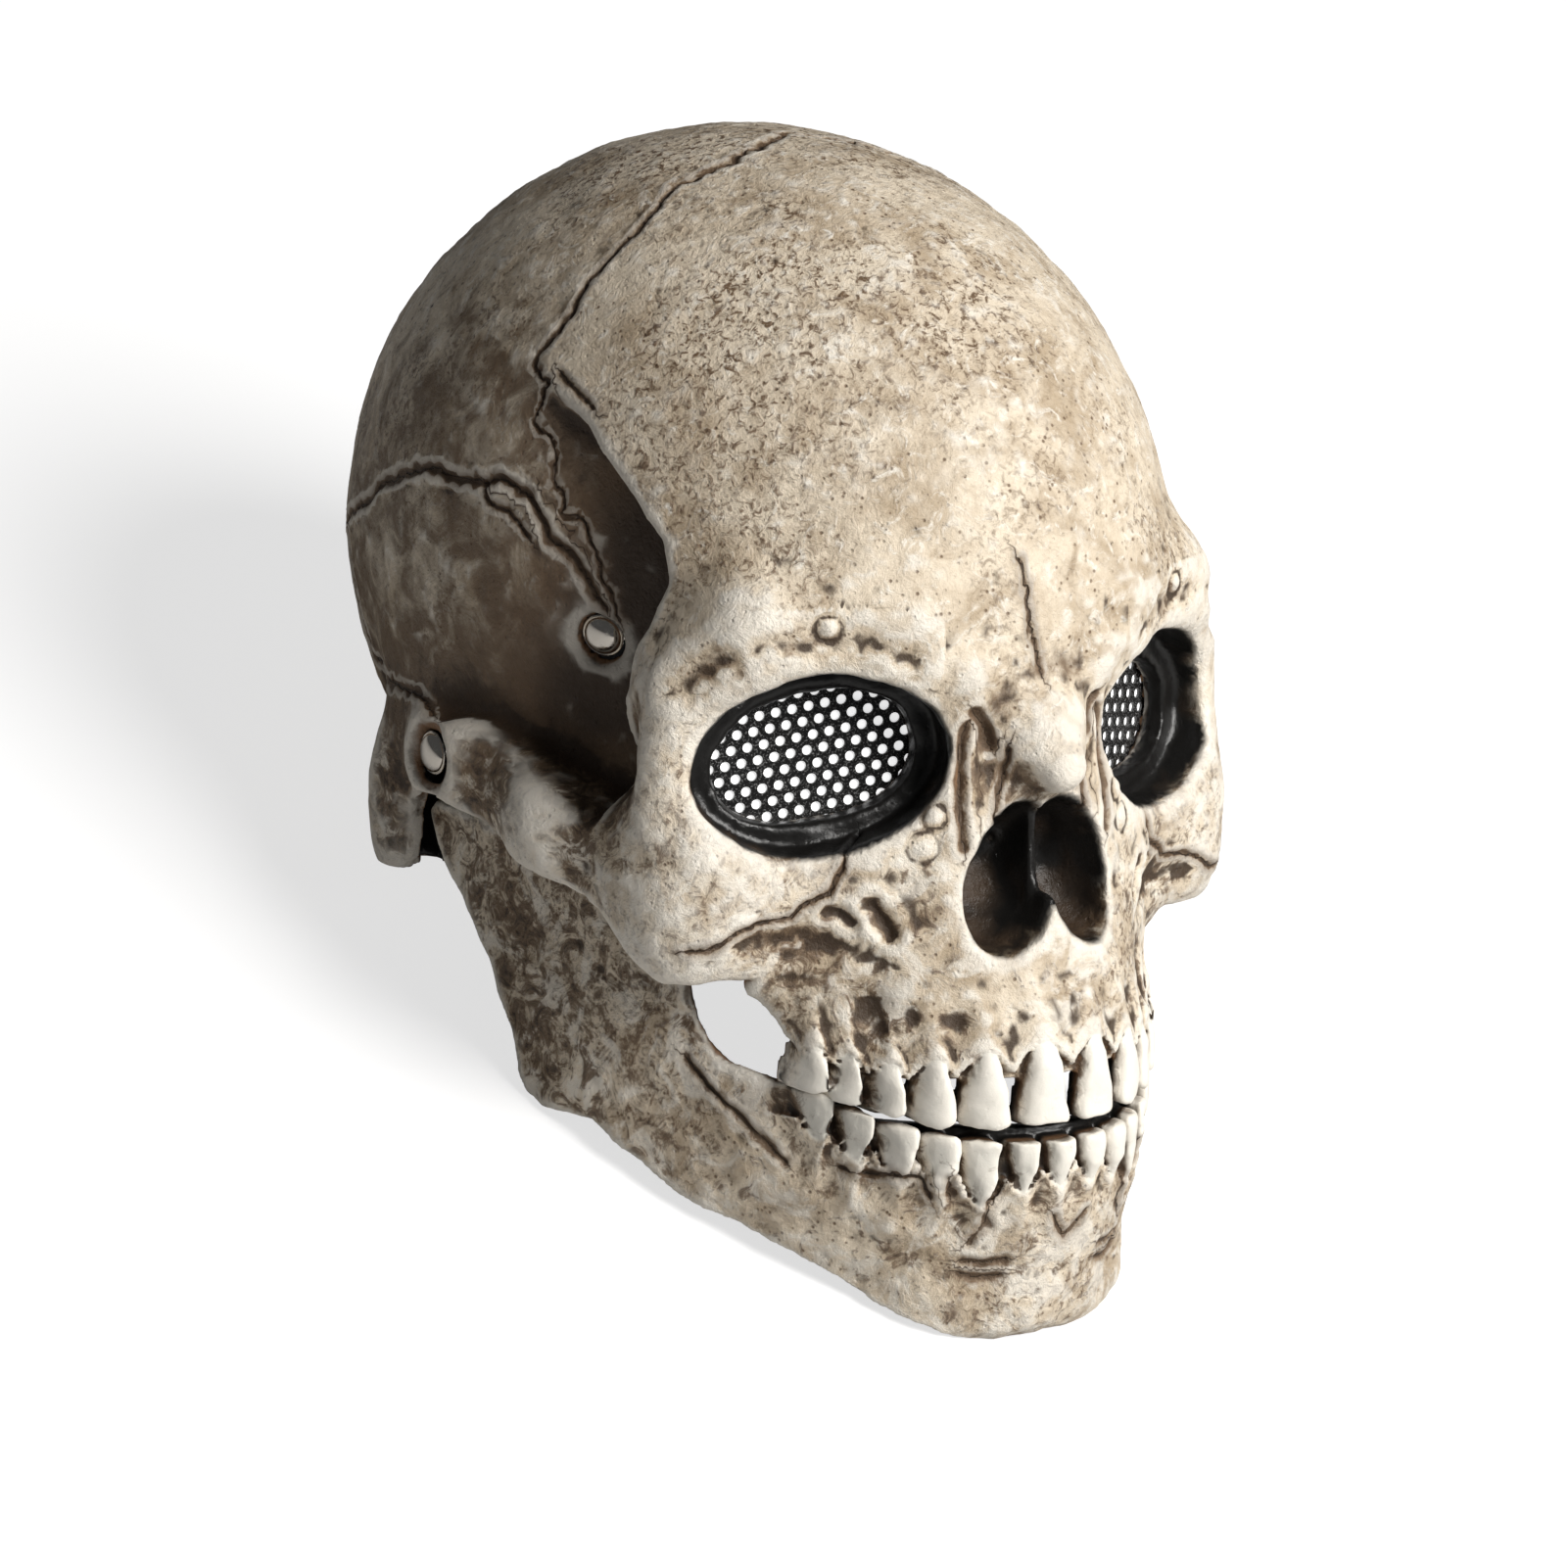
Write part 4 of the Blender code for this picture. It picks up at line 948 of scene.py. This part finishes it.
LOWER_TEETH = (Tooth(4.2, 8.0, -74.0, -63.4, 0.0), Tooth(12.2, 8.2, -75.0, -63.4, 0.0),
               Tooth(20.2, 8.8, -78.0, -63.0, 0.1), Tooth(27.4, 8.4, -74.5, -62.2, 0.1),
               Tooth(33.8, 8.8, -72.5, -60.5, 0.1), Tooth(39.8, 9.0, -69.0, -57.5, 0.1),
               Tooth(44.8, 9.0, -65.0, -54.5, 0.1))
JAW_LINES = (
    Line("gum_crack", 0.9, 0.6, 0.5, ((857, 1192), (886, 1199), (915, 1200), (940, 1203), (948, 1222))),
    Line("chin_fold", 0.8, 1.0, 0.3, ((983, 1289), (1005, 1291), (1026, 1287))),
    Line("chin_fold_low", 0.7, 1.0, 0.3, ((980, 1301), (1000, 1306), (1020, 1303))),
    Line("chin_groove", 1.0, 1.1, 0.6, ((1020, 1214), (1012, 1231), (1006, 1252), (989, 1269))),
    Line("chin_side", 0.9, 0.8, 0.5, ((1077, 1243), (1086, 1261), (1097, 1278), (1118, 1288))),
    Line("root_slot", 1.2, 1.1, 0.2, ((970, 1204), (971, 1218))),
    Line("ramus_crack", 0.9, 0.9, 0.6, ((700, 1082), (730, 1115), (765, 1150), (800, 1186))),
)
JAW_SPOTS = (
    Spot("chin_pimple", (905, 1250), 3.0, 1.3), Spot("ramus_pit", (590, 965), 2.2, -0.9),
    Spot("ramus_pit_low", (612, 990), 1.8, -0.7), Spot("ramus_dent", (550, 1090), 4.0, -0.8),
    Spot("cheek_hollow", (640, 1010), 9.0, -1.0),
)
STRIP_DEPTH = 5.9
STRIP_HALF = 1.9
STRIP_TOP = -61.4
STRIP_LOW = -80
STRIP_REACH = 43
TAB_FACE_X = 71.6
TAB_SEAT = (-27, 0, -26, -3)


def jaw_skin(half):
    field = smooth_max(bowed_face(half, JAW_ROWS), half[0] - JAW_HALF_WIDTH, 12)
    field = smooth_min(field, bar(half, CHIN), CHIN.blend)
    return smooth_max(field, -115 - half[2], 8)


def jaw_shell(half):
    depth = bowed_face(half, JAW_ROWS)
    trim = side_outline(half[1], half[2], JAW_OUTLINE)
    shell = toothed_shell(half, jaw_skin(half), JAW_ROWS, LOWER_TEETH, -1, half[1] < -84, trim)
    strip = np.maximum(half[2] - STRIP_TOP, STRIP_LOW - half[2])
    strip = np.maximum(np.maximum(np.abs(depth + STRIP_DEPTH) - STRIP_HALF, strip), half[0] - STRIP_REACH)
    shell = smooth_min(shell, strip, 0.8)
    low, high, back, front = TAB_SEAT
    seat = np.maximum(np.maximum(low - half[2], half[2] - high), np.maximum(back - half[1], half[1] - front))
    seat = np.maximum(seat, half[0] - TAB_FACE_X - CAST_GAP)
    return np.maximum(shell, -seat)


def jaw_rough(points):
    """Pitting and shallow dents of a few sizes all over the jaw."""
    return 0.1 * grain(points, 1.9, 22) + 0.22 * grain(points, 4.2, 23) + 0.4 * grain(points, 9, 24)


jaw_lines = (grid_lines((0, 50, 0.7), (50, 82, 0.85)),
             grid_lines((-146, -94, 0.7), (-94, 16, 0.9)),
             grid_lines((-122, -80, 0.85), (-80, -54, 0.65), (-54, 2, 0.9)))
jaw, half = cast_piece("jaw_cast", jaw_shell, jaw_lines, JAW_TRIANGLES, jaw_skin, JAW_LINES, (), JAW_SPOTS,
                       jaw_rough)
tooth, mouth = enamel_and_mouth_shade(half, JAW_ROWS, LOWER_TEETH, -1)
add_value(jaw.data, "tooth", tooth)
# black: painted shade behind the lower teeth
add_value(jaw.data, "black", mouth * (half[2] > -82))
settle(jaw)
jaw.data.materials.append(bone)
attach(jaw, "jaw")
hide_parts("jaw")

# Eye screens
# Thin black plates with round see-through holes in staggered rows, sprung into a rabbet behind each
# socket. A pale film behind the holes glows a little, painted light, and gives the white dots that the
# photograph shows.
SCREEN_THICK = 0.6
SCREEN_PITCH = 3.75
HOLE_RADIUS = 1.15
FILM_THICK = 0.5


def socket_matrix(side):
    turn = Matrix.Rotation(side * math.radians(SOCKET_TURN), 4, "Z")
    tilt = Matrix.Rotation(-side * math.radians(SOCKET_TILT), 4, "Y")
    centre = Vector((side * SOCKET_CENTRE[0], SOCKET_CENTRE[1], SOCKET_CENTRE[2])) * MM
    return Matrix.Translation(centre) @ turn @ tilt


def place_piece(item, matrix):
    """Puts the piece's place into its mesh, so that its object sits at the origin."""
    item.data.transform(to_rest @ matrix @ item.matrix_basis)
    item.matrix_basis = Matrix()


def add_oval_plate(name, radii, front, thick, sides=64):
    bpy.ops.object.select_all(action="DESELECT")
    bpy.ops.mesh.primitive_cylinder_add(vertices=sides, radius=1, depth=1)
    plate = bpy.context.object
    plate.name = name
    plate.data.transform(Matrix.Translation((0, (front + thick / 2) * MM, 0))
                         @ Matrix.Diagonal((radii[0] * MM, thick * MM, radii[1] * MM, 1))
                         @ Matrix.Rotation(math.pi / 2, 4, "X"))
    return plate


screen_paint, tree, place, shader = new_material("black_screen_mesh")
weave = clouds(tree, place, 0.45, 2.0, 0.6)
colour = mixed(tree, fade(tree, weave, 0.55, 0.68, 0.8), (0.013, 0.013, 0.013, 1), (0.22, 0.22, 0.22, 1))
wire(tree, shader, {"Base Color": colour, "Roughness": fade(tree, weave, 0.3, 0.7, 0.4),
                    "Normal": bumped(tree, 0.5, 0.15, weave)})
glowing_film_paint, tree, place, shader = new_material("pale_glowing_film")
cloud = clouds(tree, place, 5, 2.0)
colour = mixed(tree, cloud, (0.9, 0.9, 0.9, 1), (0.97, 0.97, 0.97, 1))
# The film glows though it is no lamp: painted light that makes the holes read white
wire(tree, shader, {"Base Color": colour, "Emission Color": colour, "Emission Strength": 0.75,
                    "Roughness": 0.6})

for side, hand in ((-1, "right"), (1, "left")):
    radii = [r + SCREEN_LAP - CAST_GAP for r in SCREEN_RADII]
    plate = add_oval_plate("eye_screen_plate_" + hand, radii, SCREEN_FRONT, SCREEN_THICK)
    bpy.ops.object.select_all(action="DESELECT")
    row_rise = SCREEN_PITCH * math.sin(math.radians(60))
    start = (-6.5 * SCREEN_PITCH * MM, (SCREEN_FRONT + 0.3) * MM, -5 * row_rise * MM)
    bpy.ops.mesh.primitive_cylinder_add(vertices=14, radius=HOLE_RADIUS * MM, depth=3 * MM,
                                        location=start, rotation=(math.pi / 2, 0, 0))
    drill = bpy.context.object
    bpy.ops.object.transform_apply(location=True, rotation=True)
    for count, offset in ((14, (SCREEN_PITCH, 0, 0)), (2, (SCREEN_PITCH / 2, 0, row_rise)),
                          (6, (0, 0, 2 * row_rise))):
        array = drill.modifiers.new("rows", "ARRAY")
        array.count = count
        array.use_relative_offset = False
        array.use_constant_offset = True
        array.constant_offset_displace = [v * MM for v in offset]
        bpy.ops.object.modifier_apply(modifier=array.name)
    select_only(plate)
    holes = plate.modifiers.new("holes", "BOOLEAN")
    holes.operation = "DIFFERENCE"
    holes.object = drill
    bpy.ops.object.modifier_apply(modifier=holes.name)
    bpy.data.objects.remove(drill)
    plate.data.materials.clear()
    plate.data.materials.append(screen_paint)
    film = add_oval_plate("eye_screen_film_" + hand, radii, SCREEN_FRONT + SCREEN_THICK + 0.05, FILM_THICK)
    select_only(film)
    soften = film.modifiers.new("round_edge", "BEVEL")
    soften.width = 0.15 * MM
    bpy.ops.object.modifier_apply(modifier=soften.name)
    film.data.materials.append(glowing_film_paint)
    for item in (plate, film):
        place_piece(item, socket_matrix(side))
        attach(item, "head")
    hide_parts("eye_screen_" + hand)

# Rivets
# Polished nickel snap rivets: two at the ears carry the jaw straps, and two in the temples hold the
# elastic inside. Each is a low dome on a shank, closed over a washer behind the wall.
HEAD_RADIUS = 5.0
HEAD_HEIGHT = 2.6
SHANK_RADIUS = 1.9
WASHER_RADIUS = 4.4
WASHER_THICK = 0.8
STRAP_INNER_X = 77.9


def add_rivet(name, through):
    """A rivet turned about its own x axis from its profile, head outside at x > 0."""
    dome = [(HEAD_HEIGHT * math.cos(a), HEAD_RADIUS * 0.93 * math.sin(a)) for a in
            (0, 0.2, 0.4, 0.6, 0.8, 1.0, 1.15, 1.3, 1.42)]
    rim = [(0.55, 0.965 * HEAD_RADIUS), (0.45, HEAD_RADIUS), (0.15, HEAD_RADIUS), (0, 0.97 * HEAD_RADIUS)]
    back = [(0, SHANK_RADIUS), (-through, SHANK_RADIUS), (-through, WASHER_RADIUS - 0.2),
            (-through - 0.15, WASHER_RADIUS), (-through - WASHER_THICK + 0.2, WASHER_RADIUS),
            (-through - WASHER_THICK, WASHER_RADIUS - 0.3), (-through - WASHER_THICK, 0)]
    profile = dome + rim + back
    mesh = bpy.data.meshes.new(name)
    edges = [(i, i + 1) for i in range(len(profile) - 1)]
    mesh.from_pydata([(x * MM, 0, radius * MM) for x, radius in profile], edges, [])
    rivet = bpy.data.objects.new(name, mesh)
    bpy.context.collection.objects.link(rivet)
    select_only(rivet)
    bpy.ops.object.mode_set(mode="EDIT")
    bpy.ops.mesh.select_all(action="SELECT")
    bpy.ops.mesh.spin(steps=48, angle=math.tau, center=(0, 0, 0), axis=(1, 0, 0))
    bpy.ops.mesh.select_all(action="SELECT")
    bpy.ops.mesh.remove_doubles(threshold=0.01 * MM)
    bpy.ops.mesh.normals_make_consistent(inside=False)
    bpy.ops.object.mode_set(mode="OBJECT")
    bpy.ops.object.shade_smooth_by_angle(angle=math.radians(35))
    return rivet


nickel, tree, place, shader = new_material("polished_nickel")
scuff = clouds(tree, place, 1.6, 4.0, 0.6, 0.5)
wire(tree, shader, {"Base Color": mixed(tree, scuff, (0.60, 0.55, 0.48, 1), (0.78, 0.74, 0.68, 1)),
                    "Roughness": fade(tree, scuff, 0.3, 0.8, 0.32), "Metallic": 1.0})
for side, hand in ((-1, "right"), (1, "left")):
    way = wall_way(TEMPLE_RIVET)
    ear_way = Vector((side, 0, 0))
    temple_way = Vector((side * way.x, way.y, way.z))
    ear_at = Vector((side * EAR_FACE_X, *PIVOT))
    temple_at = Vector((side * TEMPLE_RIVET[0], TEMPLE_RIVET[1], TEMPLE_RIVET[2]))
    for kind, spot, direction, through in (
            ("ear_rivet_", ear_at, ear_way, EAR_FACE_X - STRAP_INNER_X + CAST_GAP),
            ("temple_rivet_", temple_at, temple_way, WALL + 1.4)):
        rivet = add_rivet(kind + "cap_" + hand, through)
        turn = direction.to_track_quat("X", "Z").to_matrix().to_4x4()
        place_piece(rivet, Matrix.Translation(spot * MM) @ turn)
        rivet.data.materials.append(nickel)
        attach(rivet, "head")
        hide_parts(kind + hand)

# Jaw straps
# Two flat black straps are glued inside the jaw and turn on the ear rivets. Their CAD solids have the
# right shape, so they keep it and get the grain of coated leather.
strap_skin, tree, place, shader = new_material("black_strap_leather")
pebble = cells(tree, place, 1.1)
wear = clouds(tree, place, 6, 3.0)
colour = mixed(tree, fade(tree, wear, 0.5, 0.75, 0.7), (0.016, 0.014, 0.012, 1), (0.06, 0.048, 0.04, 1))
wire(tree, shader, {"Base Color": colour, "Roughness": fade(tree, wear, 0.2, 0.9, 0.75),
                    "Normal": bumped(tree, 0.5, 0.2, pebble)})
for hand in ("right", "left"):
    strap = frame["nodes"]["jaw_tab_" + hand]
    strap.data.materials.clear()
    strap.data.materials.append(strap_skin)

# Floor and light
# A plain pale floor, one large soft light from the camera's right and above, and a pale even surround.
# The floor is lifted a little for the camera alone, as the photograph's background is.
FLOOR_SIDE = 9
FLOOR_LIFT = 0.7
FILL_STRENGTH = 0.07
KEY_WAY = (0.67, 0.28, 0.69)
KEY_DISTANCE = 1.5
KEY_SIZE = 0.9
KEY_WATTS = 31
LIGHT_AIM = (0, 0, 0.1)
bpy.ops.object.select_all(action="DESELECT")
bpy.ops.mesh.primitive_plane_add(size=FLOOR_SIDE)
floor = bpy.context.object
floor.name = "floor"
floor_paint, tree, place, shader = new_material("pale_floor")
shade = clouds(tree, place, 300, 2.0)
wire(tree, shader, {"Base Color": mixed(tree, shade, (0.50, 0.50, 0.50, 1), (0.52, 0.52, 0.52, 1)),
                    "Roughness": 0.8, "Emission Color": (1, 1, 1, 1),
                    "Emission Strength": times(tree, camera_ray(tree), FLOOR_LIFT)})
floor.data.materials.append(floor_paint)

key_way = (to_rest.to_3x3() @ aim.to_3x3() @ Vector(KEY_WAY)).normalized()
bpy.ops.object.light_add(type="AREA")
key = bpy.context.object
key.data.shape = "DISK"
key.data.size = KEY_SIZE
key.data.energy = KEY_WATTS
key.data.color = (1.0, 0.985, 0.96)
key_turn = key_way.to_track_quat("Z", "Y").to_matrix().to_4x4()
key.matrix_world = Matrix.Translation(Vector(LIGHT_AIM) + key_way * KEY_DISTANCE) @ key_turn
world = bpy.data.worlds.new("pale_studio")
bpy.context.scene.world = world
world.use_nodes = True
tree = world.node_tree
strength = plus(tree, times(tree, camera_ray(tree), 1 - FILL_STRENGTH), FILL_STRENGTH)
wire(tree, tree.nodes["Background"], {"Color": (0.95, 0.97, 1.0, 1), "Strength": strength})
bpy.context.scene.view_settings.view_transform = "Standard"
